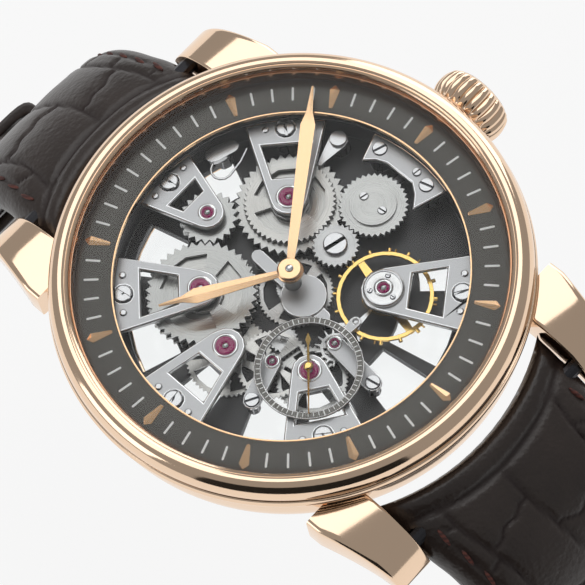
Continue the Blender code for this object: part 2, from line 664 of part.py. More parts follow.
def click_work():
    """The click, held a little off the ratchet teeth, and its spring block with a wire spring."""
    teeth_edge = RATCHET_R + 0.75 * 2 * RATCHET_R / RATCHET_TEETH
    inward = (RIGHT_BARREL_AT - CLICK_AT).normalized()
    tip = RIGHT_BARREL_AT - inward * (teeth_edge + 0.28)
    click = prism([stadium(CLICK_AT, tip, 0.85, 0.2), circle(SCREW_R + RUN, CLICK_AT, 12)],
                  WIND_Z, WIND_TOP)
    finish(click, "click", frosted_steel(), (CLICK_AT.x, CLICK_AT.y, 0.0))
    screw = cylinder(0.75, WIND_TOP + SEAT, WIND_TOP + 0.35, CLICK_AT, 12)
    screw = union(screw, cylinder(SCREW_R, WIND_Z, WIND_TOP + 0.2, CLICK_AT, 8))
    finish(screw, "click_screw", polished_steel())
    block = prism([stadium(CLICK_SPRING_AT + Vector((-0.75, 0.25)),
                           CLICK_SPRING_AT + Vector((0.9, -0.45)), 0.75, 0.6)],
                  WIND_Z, WIND_TOP + 0.2)
    start = CLICK_SPRING_AT + Vector((-0.9, 0.0))
    bow_at = start + Vector((-0.35, -1.2))
    route = ([start] + arc(0.95, 100.0, 270.0, 7, bow_at)
             + [bow_at + Vector((1.6, -0.75)), bow_at + Vector((2.9, -0.3))])
    wire = bpy.data.curves.new("wire", "CURVE")
    wire.dimensions = "3D"
    wire.bevel_depth = 0.12
    wire.bevel_resolution = 1
    wire.use_fill_caps = True
    spline = wire.splines.new("POLY")
    spline.points.add(len(route) - 1)
    for point, place in zip(spline.points, route):
        point.co = (place[0], place[1], WIND_Z + 0.3, 1.0)
    obj = bpy.data.objects.new("wire", wire)
    PARTS.objects.link(obj)
    bpy.context.view_layer.update()
    finish(union(block, as_mesh(obj)), "click_spring", frosted_steel())


# ---- Wheels --------------------------------------------------------------------------------
def spoked(at, hub_r, rim_r, spokes, turn=0.0):
    """Window loops between a hub and a rim."""
    gap = 360.0 / spokes
    return [sector(hub_r, rim_r, turn + gap * i + gap * 0.13, turn + gap * (i + 1) - gap * 0.13,
                   4, at) for i in range(spokes)]


def wheel(name, at, teeth, pitch_r, phase, z0, z1, finish_material, windows=(), parts=(),
          centre_hole=0.0):
    """A toothed wheel with windows, joined to the arbor and pinions on it."""
    loops = [gear_loop(teeth, pitch_r, phase, at)] + list(windows)
    if centre_hole:
        loops.append(circle(centre_hole, at, 12))
    solid = prism(loops, z0, z1)
    if parts:
        solid = union(solid, *parts)
    return finish(solid, name, finish_material, (at[0], at[1], 0.0))


def arbor(at, z0=PIVOT_Z, z1=BRIDGE_TOP - 0.1, radius=PIVOT_R):
    return cylinder(radius, z0, z1, at, 8)


def pinion(at, teeth, pitch_r, phase, z0, z1):
    return prism([gear_loop(teeth, pitch_r, phase, at, 0.5, 1.0)], z0, z1)


def barrel(name, at, phase, teeth_z, body_z):
    """A drum: its toothed flange and a plain body, open towards the arbor hole."""
    hole = circle(PIVOT_R + 0.2, at, 8)
    flange = prism([gear_loop(BARREL_TEETH, BARREL_R, phase, at), hole], *teeth_z)
    body = prism([circle(BARREL_R * 0.86, at, 24), hole], *body_z)
    return finish(union(flange, body), name, wheel_steel(), (at.x, at.y, 0.0))


def going_train():
    """Barrel, great wheel, third, fourth and escape wheels, phased one from the next."""
    great_phase = 0.0
    pinion_phase = 0.0
    left_phase = meshed_phase(GREAT_AT, GREAT_PINION_TEETH, pinion_phase,
                              LEFT_BARREL_AT, BARREL_TEETH)
    barrel("left_barrel_drum", LEFT_BARREL_AT, left_phase, (DRUM_Z, DRUM_Z + 0.4),
           (DRUM_Z + 0.3, DRUM_TOP))
    wheel("great_wheel", GREAT_AT, GREAT_TEETH, GREAT_R, great_phase, GREAT_Z,
          GREAT_Z + WHEEL_THICK, wheel_steel(), spoked(GREAT_AT, 1.5, GREAT_R - 0.45, 5),
          (arbor(GREAT_AT), pinion(GREAT_AT, GREAT_PINION_TEETH, GREAT_PINION_R, pinion_phase,
                                   GREAT_Z + 0.1, DRUM_Z + 0.45)))
    third_pinion = meshed_phase(GREAT_AT, GREAT_TEETH, great_phase, THIRD_AT, THIRD_PINION_TEETH)
    third_z = 3.0
    wheel("third_wheel", THIRD_AT, THIRD_TEETH, THIRD_R, 0.0, third_z, third_z + WHEEL_THICK,
          wheel_steel(), spoked(THIRD_AT, 0.6, THIRD_R - 0.4, 4),
          (arbor(THIRD_AT, z1=WIND_TOP - 0.1),
           pinion(THIRD_AT, THIRD_PINION_TEETH, THIRD_PINION_R, third_pinion, GREAT_Z - 0.03,
                  GREAT_Z + 0.3)))
    fourth_pinion = meshed_phase(THIRD_AT, THIRD_TEETH, 0.0, FOURTH_AT, FOURTH_PINION_TEETH)
    fourth_z = 2.5
    wheel("fourth_wheel", FOURTH_AT, FOURTH_TEETH, FOURTH_R, 0.0, fourth_z,
          fourth_z + WHEEL_THICK, wheel_steel(), spoked(FOURTH_AT, 0.6, FOURTH_R - 0.4, 4),
          (arbor(FOURTH_AT, z1=5.8, radius=PIVOT_R - 0.04),
           pinion(FOURTH_AT, FOURTH_PINION_TEETH, FOURTH_PINION_R, fourth_pinion,
                  third_z - 0.05, third_z + 0.25)))
    escape_pinion = meshed_phase(FOURTH_AT, FOURTH_TEETH, 0.0, ESCAPE_AT, ESCAPE_PINION_TEETH)
    escape_z = 2.9
    points = []
    for i in range(ESCAPE_TEETH):
        step = 360.0 / ESCAPE_TEETH
        points += [polar(ESCAPE_R, step * i, ESCAPE_AT), polar(ESCAPE_R, step * (i + 0.12), ESCAPE_AT),
                   polar(ESCAPE_R - 0.5, step * (i + 0.3), ESCAPE_AT),
                   polar(ESCAPE_R - 0.5, step * (i + 0.9), ESCAPE_AT)]
    solid = prism([points] + spoked(ESCAPE_AT, 0.45, ESCAPE_R - 0.75, 3), escape_z,
                  escape_z + 0.15)
    solid = union(solid, arbor(ESCAPE_AT, z1=WIND_TOP - 0.1),
                  pinion(ESCAPE_AT, ESCAPE_PINION_TEETH, ESCAPE_PINION_R, escape_pinion,
                         fourth_z - 0.05, fourth_z + 0.25))
    finish(solid, "escape_wheel", wheel_steel(), (ESCAPE_AT.x, ESCAPE_AT.y, 0.0))


def barrel_train():
    """The transfer wheel between the two barrels, and the wheels that it meshes with."""
    transfer_phase = 0.0
    right_phase = meshed_phase(TRANSFER_AT, TRANSFER_TEETH, transfer_phase, RIGHT_BARREL_AT,
                               BARREL_TEETH)
    left_phase = meshed_phase(TRANSFER_AT, TRANSFER_TEETH, transfer_phase, LEFT_BARREL_AT,
                              BARREL_TEETH)
    wheel("transfer_wheel", TRANSFER_AT, TRANSFER_TEETH, TRANSFER_R, transfer_phase,
          DRUM_Z + 0.5, WIND_Z + 0.3, wheel_steel(), (), (arbor(TRANSFER_AT),))
    barrel("right_barrel_drum", RIGHT_BARREL_AT, right_phase, (DRUM_TOP - 0.4, DRUM_TOP),
           (DRUM_Z, DRUM_TOP - 0.3))
    wheel("left_arbor_wheel", LEFT_BARREL_AT, BARREL_TEETH, BARREL_R, left_phase,
          WIND_Z - 0.03, WIND_Z + 0.3, wheel_steel(),
          spoked(LEFT_BARREL_AT, 1.9, BARREL_R - 1.05, 3, 20.0), (arbor(LEFT_BARREL_AT),))


def winding_train():
    """Crown wheel, winding idler and ratchet wheel."""
    idler_phase = meshed_phase(CROWN_WHEEL_AT, CROWN_WHEEL_TEETH, 0.0, WINDING_IDLER_AT,
                               WINDING_IDLER_TEETH)
    ratchet_phase = meshed_phase(WINDING_IDLER_AT, WINDING_IDLER_TEETH, idler_phase,
                                 RIGHT_BARREL_AT, RATCHET_TEETH)
    crown_cap = cylinder(2.05, WIND_TOP - 0.05, WIND_TOP + 0.25, CROWN_WHEEL_AT, 28)
    wheel("crown_wheel", CROWN_WHEEL_AT, CROWN_WHEEL_TEETH, CROWN_WHEEL_R, 0.0, WIND_Z, WIND_TOP,
          wheel_steel(), (), (arbor(CROWN_WHEEL_AT, z1=WIND_TOP), crown_cap))
    idler_screw = cylinder(1.05, WIND_TOP - 0.05, WIND_TOP + 0.3, WINDING_IDLER_AT, 24)
    wheel("winding_idler", WINDING_IDLER_AT, WINDING_IDLER_TEETH, WINDING_IDLER_R, idler_phase,
          WIND_Z, WIND_TOP, wheel_steel(), (),
          (arbor(WINDING_IDLER_AT, z1=WIND_TOP), idler_screw))
    wheel("ratchet_wheel", RIGHT_BARREL_AT, RATCHET_TEETH, RATCHET_R, ratchet_phase, WIND_Z,
          WIND_TOP, wheel_steel(), spoked(RIGHT_BARREL_AT, 1.7, RATCHET_R - 0.75, 3, 15.0),
          (arbor(RIGHT_BARREL_AT),))


def motion_work():
    """Centre wheel and cannon pinion, minute idler, motion wheel and hour wheel."""
    great_phase = 0.0
    idler_phase = meshed_phase(GREAT_AT, GREAT_TEETH, great_phase, MINUTE_IDLER_AT,
                               MINUTE_IDLER_TEETH)
    centre = Vector((0.0, 0.0))
    centre_phase = meshed_phase(MINUTE_IDLER_AT, MINUTE_IDLER_TEETH, idler_phase, centre,
                                CENTRE_TEETH)
    wheel("minute_idler", MINUTE_IDLER_AT, MINUTE_IDLER_TEETH, MINUTE_IDLER_R, idler_phase,
          GREAT_Z, GREAT_Z + WHEEL_THICK, wheel_steel(), (),
          (arbor(MINUTE_IDLER_AT, z1=GREAT_Z + 0.4),))
    cannon_z = 2.7
    hour_z = cannon_z + 0.4
    cannon = pinion(centre, CANNON_TEETH, CANNON_R, 0.0, cannon_z, cannon_z + 0.3)
    wheel("centre_wheel", centre, CENTRE_TEETH, CENTRE_R, centre_phase, GREAT_Z,
          GREAT_Z + WHEEL_THICK, wheel_steel(), spoked(centre, 0.8, CENTRE_R - 0.45, 4),
          (arbor(centre, z1=MINUTE_HAND_Z + HAND_THICK + 0.1, radius=ARBOR_R), cannon))
    motion_phase = meshed_phase(centre, CANNON_TEETH, 0.0, MOTION_AT, MOTION_TEETH)
    wheel("motion_wheel", MOTION_AT, MOTION_TEETH, MOTION_R, motion_phase, cannon_z + 0.05,
          cannon_z + 0.25, wheel_steel(), (),
          (arbor(MOTION_AT, cannon_z - 0.25, WIND_Z + 0.3),
           pinion(MOTION_AT, MOTION_PINION_TEETH, MOTION_PINION_R, 0.0, cannon_z + 0.2,
                  hour_z + 0.25)))
    hour_phase = meshed_phase(MOTION_AT, MOTION_PINION_TEETH, 0.0, centre, HOUR_TEETH)
    pipe = prism([circle(PIPE_R, count=16), circle(ARBOR_R + RUN, count=12)], hour_z,
                 HOUR_HAND_Z + HAND_THICK + 0.05)
    wheel("hour_wheel", centre, HOUR_TEETH, HOUR_R, hour_phase, hour_z, hour_z + WHEEL_THICK,
          wheel_steel(), (), (pipe,), centre_hole=ARBOR_R + RUN)


def pallet_fork():
    """The lever: two pallet arms towards the escape wheel and a fork towards the balance."""
    z0 = 2.9
    toward = math.degrees(math.atan2(ESCAPE_AT.y - PALLET_AT.y, ESCAPE_AT.x - PALLET_AT.x))
    reach = ESCAPE_R + 0.2
    bar = prism([stadium(PALLET_AT, PALLET_AT + Vector((1.9, 0.0)), 0.3, 0.13)], z0, z0 + 0.15)
    arms = []
    for side in (-1.0, 1.0):
        stone = polar(reach + 0.12, math.degrees(math.atan2(PALLET_AT.y - ESCAPE_AT.y,
                                                            PALLET_AT.x - ESCAPE_AT.x))
                      + side * 32.0, ESCAPE_AT)
        arms.append(prism([stadium(PALLET_AT, stone, 0.28, 0.16)], z0, z0 + 0.15))
    solid = union(bar, *arms)
    solid = union(solid, arbor(PALLET_AT, z1=WIND_TOP - 0.1, radius=PIVOT_R - 0.05))
    return finish(solid, "pallet_fork", polished_steel(), (PALLET_AT.x, PALLET_AT.y, 0.0))


def balance_wheel():
    """The balance: rim with timing screws, two tapered arms, staff and roller."""
    rim = prism([circle(BALANCE_R, BALANCE_AT, 32), circle(BALANCE_R - BALANCE_RIM, BALANCE_AT, 32)],
                BALANCE_Z, BALANCE_Z + BALANCE_THICK)
    inner = BALANCE_R - BALANCE_RIM + 0.1
    tilt = 75.0
    arms = []
    for turn in (tilt, tilt + 180.0):
        near = BALANCE_AT
        far = polar(inner, turn, BALANCE_AT)
        arms.append(prism([stadium(near, far, 0.55, 0.3, 5)], BALANCE_Z + 0.03, BALANCE_Z + 0.2))
    screws = []
    count = 12
    for i in range(count):
        angle = tilt + 360.0 * (i + 0.5) / count
        screw = bar_x(0.1, BALANCE_R - 0.15, BALANCE_R + 0.32, 0.0, BALANCE_Z + BALANCE_THICK / 2, 4)
        screw.data.transform(Matrix.Translation((BALANCE_AT.x, BALANCE_AT.y, 0.0))
                             @ Matrix.Rotation(math.radians(angle), 4, "Z"))
        screws.append(screw)
    staff = arbor(BALANCE_AT)
    roller = cylinder(0.5, 2.85, BALANCE_Z + 0.1, BALANCE_AT, 10)
    solid = union(rim, *arms)
    solid = union(solid, staff, roller, *screws)
    return finish(solid, "balance_wheel", balance_gold(), (BALANCE_AT.x, BALANCE_AT.y, 0.0))


# ---- Hands ---------------------------------------------------------------------------------
def hand_outline(length, hub_r, root_half, belly_r, belly_half, tip_half):
    """A baton along +Y that widens to a shoulder and then narrows to its tip, with a round hub."""
    lean = math.degrees(math.asin(root_half / hub_r))
    outline = arc(hub_r, 90.0 + lean, 450.0 - lean, 17)
    return outline + [Vector((belly_half, belly_r)), Vector((tip_half, belly_r + 1.3)),
                      Vector((tip_half * 0.55, length)), Vector((-tip_half * 0.55, length)),
                      Vector((-tip_half, belly_r + 1.3)), Vector((-belly_half, belly_r))]


def placed(points, clock_angle, at=(0.0, 0.0)):
    """Turn an outline drawn along +Y to a clockwise angle and move it to a centre."""
    turn = Matrix.Rotation(-math.radians(clock_angle), 2)
    return [turn @ Vector(point) + Vector(at) for point in points]


def hands():
    """Hour, minute and small-seconds hands, at eight minutes past ten."""
    hour = prism([placed(hand_outline(HOUR_LENGTH, 1.15, 0.5, 8.0, 0.72, 0.3), HOUR_ANGLE),
                  circle(PIPE_R + 0.03, count=16)], HOUR_HAND_Z, HOUR_HAND_Z + HAND_THICK)
    finish(hour, "hour_hand", rose_gold())
    minute = prism([placed(hand_outline(MINUTE_LENGTH, 1.05, 0.42, 13.6, 0.66, 0.24), MINUTE_ANGLE),
                    circle(ARBOR_R + 0.03, count=12)], MINUTE_HAND_Z, MINUTE_HAND_Z + HAND_THICK)
    finish(minute, "minute_hand", rose_gold())
    pointer = [Vector((0.12, 0.4)), Vector((0.06, SECONDS_LENGTH)), Vector((-0.06, SECONDS_LENGTH)),
               Vector((-0.12, 0.4))]
    hub = arc(0.42, 107.0, 253.0, 6)
    tail = [Vector((-0.08, -1.9)), Vector((-0.26, -2.3)), Vector((0.0, -3.0)), Vector((0.26, -2.3)),
            Vector((0.08, -1.9))]
    outline = pointer[:2] + pointer[2:] + hub + tail + arc(0.42, 287.0, 433.0, 6)
    second = prism([placed(outline, SECONDS_ANGLE, FOURTH_AT), circle(PIVOT_R, FOURTH_AT, 8)],
                   5.6, 5.72)
    finish(second, "seconds_hand", balance_gold(), (FOURTH_AT.x, FOURTH_AT.y, 0.0))


# ---- Crown ---------------------------------------------------------------------------------
def crown():
    """The fluted crown on its stem, which carries the winding pinion."""
    solid = cylinder(CROWN_R, 0.0, CROWN_LENGTH, segments=2 * CROWN_FLUTES)
    stations = (0.12, 0.3, 0.7, 0.88)

    def slice_and_shape(bm):
        for station in stations:
            geometry = bm.verts[:] + bm.edges[:] + bm.faces[:]
            bmesh.ops.bisect_plane(bm, geom=geometry, plane_co=(0, 0, CROWN_LENGTH * station),
                                   plane_no=(0, 0, 1))
        for vertex in bm.verts:
            along = vertex.co.z / CROWN_LENGTH
            turn = math.degrees(math.atan2(vertex.co.y, vertex.co.x)) % (360.0 / CROWN_FLUTES)
            flute = 0.955 if 0.25 < turn / (360.0 / CROWN_FLUTES) < 0.75 else 1.0
            round_off = math.sqrt(1.0 - (abs(along - 0.5) * 2.0) ** 2.5 * 0.36)
            vertex.co.x *= flute * round_off
            vertex.co.y *= flute * round_off

    edit(solid, slice_and_shape)
    solid = cut(solid, cylinder(STEM_R + 0.04, -1.0, CROWN_LENGTH * 0.7, segments=12))
    to_side = Matrix.Translation((CROWN_X, 0.0, CROWN_Z)) @ Matrix.Rotation(math.pi / 2, 4, "Y")
    solid.data.transform(to_side)
    finish(solid, "crown", rose_gold(), (CROWN_X, 0.0, CROWN_Z))
    stem = bar_x(STEM_R, STEM_INNER_X, CROWN_X + CROWN_LENGTH * 0.6, 0.0, CROWN_Z, 12)
    finish(stem, "winding_stem", polished_steel(), (CROWN_X, 0.0, CROWN_Z))


# ---- Strap ---------------------------------------------------------------------------------
def ease(value):
    value = min(max(value, 0.0), 1.0)
    return value * value * (3.0 - 2.0 * value)


def strap_angle(s, curl):
    """Slope of the strap below the horizontal, at a distance along it from the spring bar."""
    start = STRAP_ANGLE_LUG - 8.0 if s < 0.0 else STRAP_ANGLE_LUG
    bend = start + (STRAP_ANGLE - start) * ease(s / STRAP_BEND_END)
    return bend + curl * ease((s - 40.0) / 70.0)


def strap_frame(s, curl):
    """Place and slope (y, z, degrees) of the strap's middle line, summed in half-millimetre steps."""
    y, z = LUG_SPAN_Y, LUG_BAR_Z
    steps = max(1, int(abs(s) * 2))
    step = s / steps
    for i in range(steps):
        slope = math.radians(strap_angle((i + 0.5) * step, curl))
        y += math.cos(slope) * step
        z -= math.sin(slope) * step
    return y, z, strap_angle(s, curl)


def strap_width(s):
    return STRAP_WIDTH + (BUCKLE_WIDTH - STRAP_WIDTH) * min(max(s / STRAP_TAPER_END, 0.0), 1.0)


def strap_thickness(s):
    return STRAP_THICK_LUG + (STRAP_THICK - STRAP_THICK_LUG) * ease(s / STRAP_TAPER_END)


def strap_body(length, curl, tip=0.0):
    """A strap half at +Y: a block bent along its line, padded in the middle, thin at its sides."""
    start = -4.6
    solid = box(-1.0, 1.0, start, length, -1.0, 1.0)
    stations = [start + 2.3 * i for i in range(1, 10)]
    while stations[-1] < length - 8.0:
        stations.append(stations[-1] + 7.0)
    stations += [length - 5.0, length - 2.5]

    def bend(bm):
        for s in stations:
            geometry = bm.verts[:] + bm.edges[:] + bm.faces[:]
            bmesh.ops.bisect_plane(bm, geom=geometry, plane_co=(0, s, 0), plane_no=(0, 1, 0))
        for x in (-0.8, 0.8):
            geometry = bm.verts[:] + bm.edges[:] + bm.faces[:]
            bmesh.ops.bisect_plane(bm, geom=geometry, plane_co=(x, 0, 0), plane_no=(1, 0, 0))
        for vertex in bm.verts:
            s = vertex.co.y
            y, z, slope = strap_frame(s, curl)
            slope = math.radians(slope)
            half = strap_width(s) / 2
            if tip and s > length - tip:
                half *= math.sqrt(max(0.12, 1.0 - ((s - length + tip) / tip) ** 2))
            thick = strap_thickness(s)
            high = vertex.co.z * thick / 2
            if abs(vertex.co.x) > 0.9 and vertex.co.z > 0:
                high -= thick * 0.32
            vertex.co = (vertex.co.x * half, y + math.sin(slope) * high,
                         z + math.cos(slope) * high)

    return edit(solid, bend)


def at_strap(obj, s, curl, side):
    """Move a piece drawn along +Y at the origin to its place on a strap half."""
    y, z, slope = strap_frame(s, curl)
    matrix = Matrix.Translation((0.0, y, z)) @ Matrix.Rotation(-math.radians(slope), 4, "X")
    if side < 0:
        matrix = Matrix.Rotation(math.pi, 4, "Z") @ matrix
    obj.data.transform(matrix)
    return obj


def loop_piece(width, height_low, height_high, length):
    """A keeper: a closed flat loop round the strap."""
    outer = box(-width / 2 - KEEPER_WALL, width / 2 + KEEPER_WALL, 0.0, length,
                height_low - KEEPER_WALL, height_high + KEEPER_WALL)
    return cut(outer, box(-width / 2, width / 2, -1.0, length + 1.0, height_low, height_high))


def strap():
    """Both strap halves, their spring bars, keepers and the pin buckle."""
    for name, side in (("spring_bar_12", 1), ("spring_bar_6", -1)):
        half = LUG_GAP / 2 + LUG_HOLE_DEPTH - 0.15
        finish(bar_x(SPRING_BAR_R, -half, half, side * LUG_SPAN_Y, LUG_BAR_Z, 12), name,
               polished_steel())
    bar_hole = SPRING_BAR_R + 0.15
    case_end = BODY_R + STRAP_END_GAP

    upper = strap_body(STRAP_LENGTH_12 + 2.2, 0.0)
    upper = cut(upper, cylinder(case_end, -10.0, 20.0, segments=96),
                bar_x(bar_hole, -20.0, 20.0, LUG_SPAN_Y, LUG_BAR_Z, 12))
    buckle_hole = bar_x(BUCKLE_BAR_R + 0.1, -20.0, 20.0, 0.0, 0.0, 12)
    slot = box(-TANG_WIDTH / 2 - 0.3, TANG_WIDTH / 2 + 0.3, -2.0, 5.0, -5.0, 5.0)
    upper = cut(upper, at_strap(buckle_hole, STRAP_LENGTH_12, 0.0, 1))
    upper = cut(upper, at_strap(slot, STRAP_LENGTH_12, 0.0, 1))
    bar_y, bar_z, slope = strap_frame(0.0, 0.0)
    finish(upper, "strap_12", leather(), (0.0, LUG_SPAN_Y, LUG_BAR_Z))

    lower = strap_body(STRAP_LENGTH_6, STRAP_TAIL_CURL, tip=9.0)
    lower = cut(lower, cylinder(case_end, -10.0, 20.0, segments=96),
                bar_x(bar_hole, -20.0, 20.0, LUG_SPAN_Y, LUG_BAR_Z, 12))
    holes = []
    for i in range(HOLE_COUNT):
        s = STRAP_LENGTH_6 - 22.0 - HOLE_PITCH * i
        holes.append(at_strap(cylinder(HOLE_R, -5.0, 5.0, segments=10), s, STRAP_TAIL_CURL, 1))
    lower = cut(lower, *holes)
    lower.data.transform(Matrix.Rotation(math.pi, 4, "Z"))
    finish(lower, "strap_6", leather(), (0.0, -LUG_SPAN_Y, LUG_BAR_Z))

    end_y, end_z, slope = strap_frame(STRAP_LENGTH_12, 0.0)
    origin = (0.0, end_y, end_z)
    half = BUCKLE_WIDTH / 2 + 0.3
    ear = 1.7
    frame = box(-half - ear, half + ear, -1.5, BUCKLE_LENGTH, -BUCKLE_THICK / 2, BUCKLE_THICK / 2)
    frame = cut(frame, box(-half, half, -3.0, BUCKLE_LENGTH - 2.2, -3.0, 3.0))
    frame = union(frame, bar_x(BUCKLE_BAR_R, -half - 0.2, half + 0.2, 0.0, 0.0, 12))
    finish(at_strap(frame, STRAP_LENGTH_12, 0.0, 1), "buckle_frame", rose_gold(), origin)
    tang_top = BUCKLE_THICK / 2 + 0.1
    tang = bar_x(1.5, -TANG_WIDTH / 2, TANG_WIDTH / 2, 0.0, 0.0, 16)
    tang = union(tang, box(-TANG_WIDTH / 2, TANG_WIDTH / 2, 0.0, BUCKLE_LENGTH + 0.4, tang_top,
                           tang_top + 0.8))
    tang = cut(tang, bar_x(BUCKLE_BAR_R + 0.05, -20.0, 20.0, 0.0, 0.0, 12))
    finish(at_strap(tang, STRAP_LENGTH_12, 0.0, 1), "buckle_tang", rose_gold(), origin)

    low = -STRAP_THICK / 2 - KEEPER_GAP
    width = BUCKLE_WIDTH + 2 * KEEPER_GAP
    high = STRAP_THICK * 1.5 + KEEPER_GAP
    fixed = loop_piece(width, low, high, KEEPER_LENGTH)
    finish(at_strap(fixed, STRAP_LENGTH_12 - 11.0, 0.0, 1), "keeper_fixed", leather())
    sliding = loop_piece(width, low, high, KEEPER_LENGTH)
    finish(at_strap(sliding, STRAP_LENGTH_12 - 24.0, 0.0, 1), "keeper_sliding", leather())


# ---- The watch -----------------------------------------------------------------------------
case_middle()
bezel()
crystal()
flange_ring()
dial_ring()
case_back()
mainplate()
for row in BRIDGES:
    bridge(*row)
crown_wheel_bridge()
cocks()
seconds_ring()
click_work()
going_train()
barrel_train()
winding_train()
motion_work()
pallet_fork()
balance_wheel()
hands()
crown()
strap()
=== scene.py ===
# %% [markdown]
# # A skeleton wristwatch
# The CAD model fixes every size: case, movement, hands, crown and strap. This lesson dresses it.
# Flat or turned metal keeps the CAD's own outline and gains bevelled edges and a finish.
# Round pieces that the eye meets first, such as the bezel, and all leather are worked out anew with numpy.

# %% The CAD frame
import json
import math

import bmesh
import bpy
import numpy as np
from mathutils import Matrix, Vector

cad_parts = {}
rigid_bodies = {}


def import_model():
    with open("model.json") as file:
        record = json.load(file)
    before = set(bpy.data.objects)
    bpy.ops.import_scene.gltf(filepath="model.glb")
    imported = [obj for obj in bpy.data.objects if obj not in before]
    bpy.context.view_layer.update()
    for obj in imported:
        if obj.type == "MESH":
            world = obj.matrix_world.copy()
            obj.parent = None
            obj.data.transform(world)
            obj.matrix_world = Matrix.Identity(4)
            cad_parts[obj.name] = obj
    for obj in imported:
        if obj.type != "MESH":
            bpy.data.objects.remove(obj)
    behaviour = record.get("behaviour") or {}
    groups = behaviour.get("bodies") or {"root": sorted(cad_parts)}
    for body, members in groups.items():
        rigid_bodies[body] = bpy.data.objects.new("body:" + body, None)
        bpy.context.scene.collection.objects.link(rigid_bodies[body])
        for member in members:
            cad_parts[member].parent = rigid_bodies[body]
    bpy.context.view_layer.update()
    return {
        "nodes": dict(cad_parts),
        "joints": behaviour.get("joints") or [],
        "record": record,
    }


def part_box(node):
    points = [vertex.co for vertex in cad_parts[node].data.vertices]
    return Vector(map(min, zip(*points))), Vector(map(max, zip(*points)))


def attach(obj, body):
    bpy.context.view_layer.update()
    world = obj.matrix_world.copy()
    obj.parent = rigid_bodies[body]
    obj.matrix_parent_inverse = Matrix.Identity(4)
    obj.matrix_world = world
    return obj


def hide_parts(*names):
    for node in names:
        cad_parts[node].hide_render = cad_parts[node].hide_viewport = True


for thing in list(bpy.data.objects):
    bpy.data.objects.remove(thing)
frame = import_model()
nodes = frame["nodes"]
MM = 0.001
body_of_node = {node: body for body, held in frame["record"]["behaviour"]["bodies"].items() for node in held}

# %% [markdown]
# ## Shader sums as Python
# A finish is a small sum: grain plus wear, limited and scaled. Node by node that is hard to read.
# A small class wraps a socket so that an ordinary expression adds the Math nodes.

# %% A socket that can be added and multiplied
class Value:
    """One output socket. Sums with it or with plain numbers add Math nodes."""

    def __init__(self, paint, socket):
        self.paint = paint
        self.socket = socket

    def sum(self, operation, first, second):
        return self.paint.node("ShaderNodeMath", {"operation": operation}, {0: first, 1: second})

    def __add__(self, other):
        return self.sum("ADD", self, other)

    def __sub__(self, other):
        return self.sum("SUBTRACT", self, other)

    def __rsub__(self, other):
        return self.sum("SUBTRACT", other, self)

    def __mul__(self, other):
        return self.sum("MULTIPLY", self, other)

    __radd__ = __add__
    __rmul__ = __mul__

    def __pow__(self, other):
        return self.sum("POWER", self, other)

    def at_most(self, other):
        return self.sum("MINIMUM", self, other)

    def at_least(self, other):
        return self.sum("MAXIMUM", self, other)


class Paint:
    """One material. node() adds any node: its settings first, then the values or links of its sockets."""

    def __init__(self, name):
        self.material = bpy.data.materials.new(name)
        self.material.use_nodes = True
        self.tree = self.material.node_tree
        self.tree.nodes.clear()

    def node(self, kind, settings=None, sockets=None, output=0):
        made = self.tree.nodes.new(kind)
        for key, setting in (settings or {}).items():
            if key == "stops":
                ramp = made.color_ramp
                ramp.elements[0].position, ramp.elements[0].color = setting[0]
                ramp.elements[1].position, ramp.elements[1].color = setting[-1]
                for place, colour in setting[1:-1]:
                    ramp.elements.new(place).color = colour
            else:
                setattr(made, key, setting)
        for key, value in (sockets or {}).items():
            if isinstance(value, Value):
                self.tree.links.new(value.socket, made.inputs[key])
            else:
                made.inputs[key].default_value = value
        return Value(self, made.outputs[output]) if len(made.outputs) else None

    def place(self):
        """The point on the object, in metres."""
        return self.node("ShaderNodeTexCoord", output="Object")

    def noise(self, scale, detail=3.0, stretch=(1.0, 1.0, 1.0)):
        """Cloudy noise from 0 to 1, with a number of features per metre along each axis."""
        where = self.node("ShaderNodeMapping", {}, {"Vector": self.place(), "Scale": stretch})
        return self.node("ShaderNodeTexNoise", {}, {"Vector": where, "Scale": scale, "Detail": detail})

    def blend(self, share, first, second):
        """First colour at share 0, second at share 1."""
        return self.node("ShaderNodeMix", {"data_type": "RGBA"}, {0: share, 6: first, 7: second}, 2)

    def bump(self, height, strength, depth_mm):
        return self.node("ShaderNodeBump", {}, {"Height": height, "Strength": strength,
                                                "Distance": depth_mm * MM})

    def surface(self, **sockets):
        """The Principled shader with these sockets, joined to the output."""
        named = {key.replace("_", " "): value for key, value in sockets.items()}
        shader = self.node("ShaderNodeBsdfPrincipled", {}, named)
        self.node("ShaderNodeOutputMaterial", {}, {"Surface": shader})
        return self.material


def rgb(red, green, blue):
    """A colour for a socket, from linear amounts."""
    return (red, green, blue, 1.0)

# %% [markdown]
# ## Metal finishes
# The case is polished rose gold. Polish is low roughness, and faint cloudy wear keeps it from
# looking like a mirror ball. Bridges are blasted to a fine frost, with edges filed and polished.
# Wheels are grained in circles on a lathe, which the anisotropy of the shader shows as fans of light.

# %% Polished, frosted and grained metal
def polished(name, colour, roughness, wear=0.05, tint=0.06):
    """Polished metal: the roughness and the colour drift a little with cloudy noise."""
    paint = Paint(name)
    cloud = paint.noise(180.0, 4.0)
    hair = paint.noise(900.0, 2.0, (1.0, 6.0, 1.0))
    dark = rgb(*(c * (1.0 - tint) for c in colour))
    return paint.surface(
        Base_Color=paint.blend(cloud, dark, rgb(*colour)), Metallic=1.0,
        Roughness=cloud * wear + roughness,
        Normal=paint.bump(hair, 0.12, 0.004))


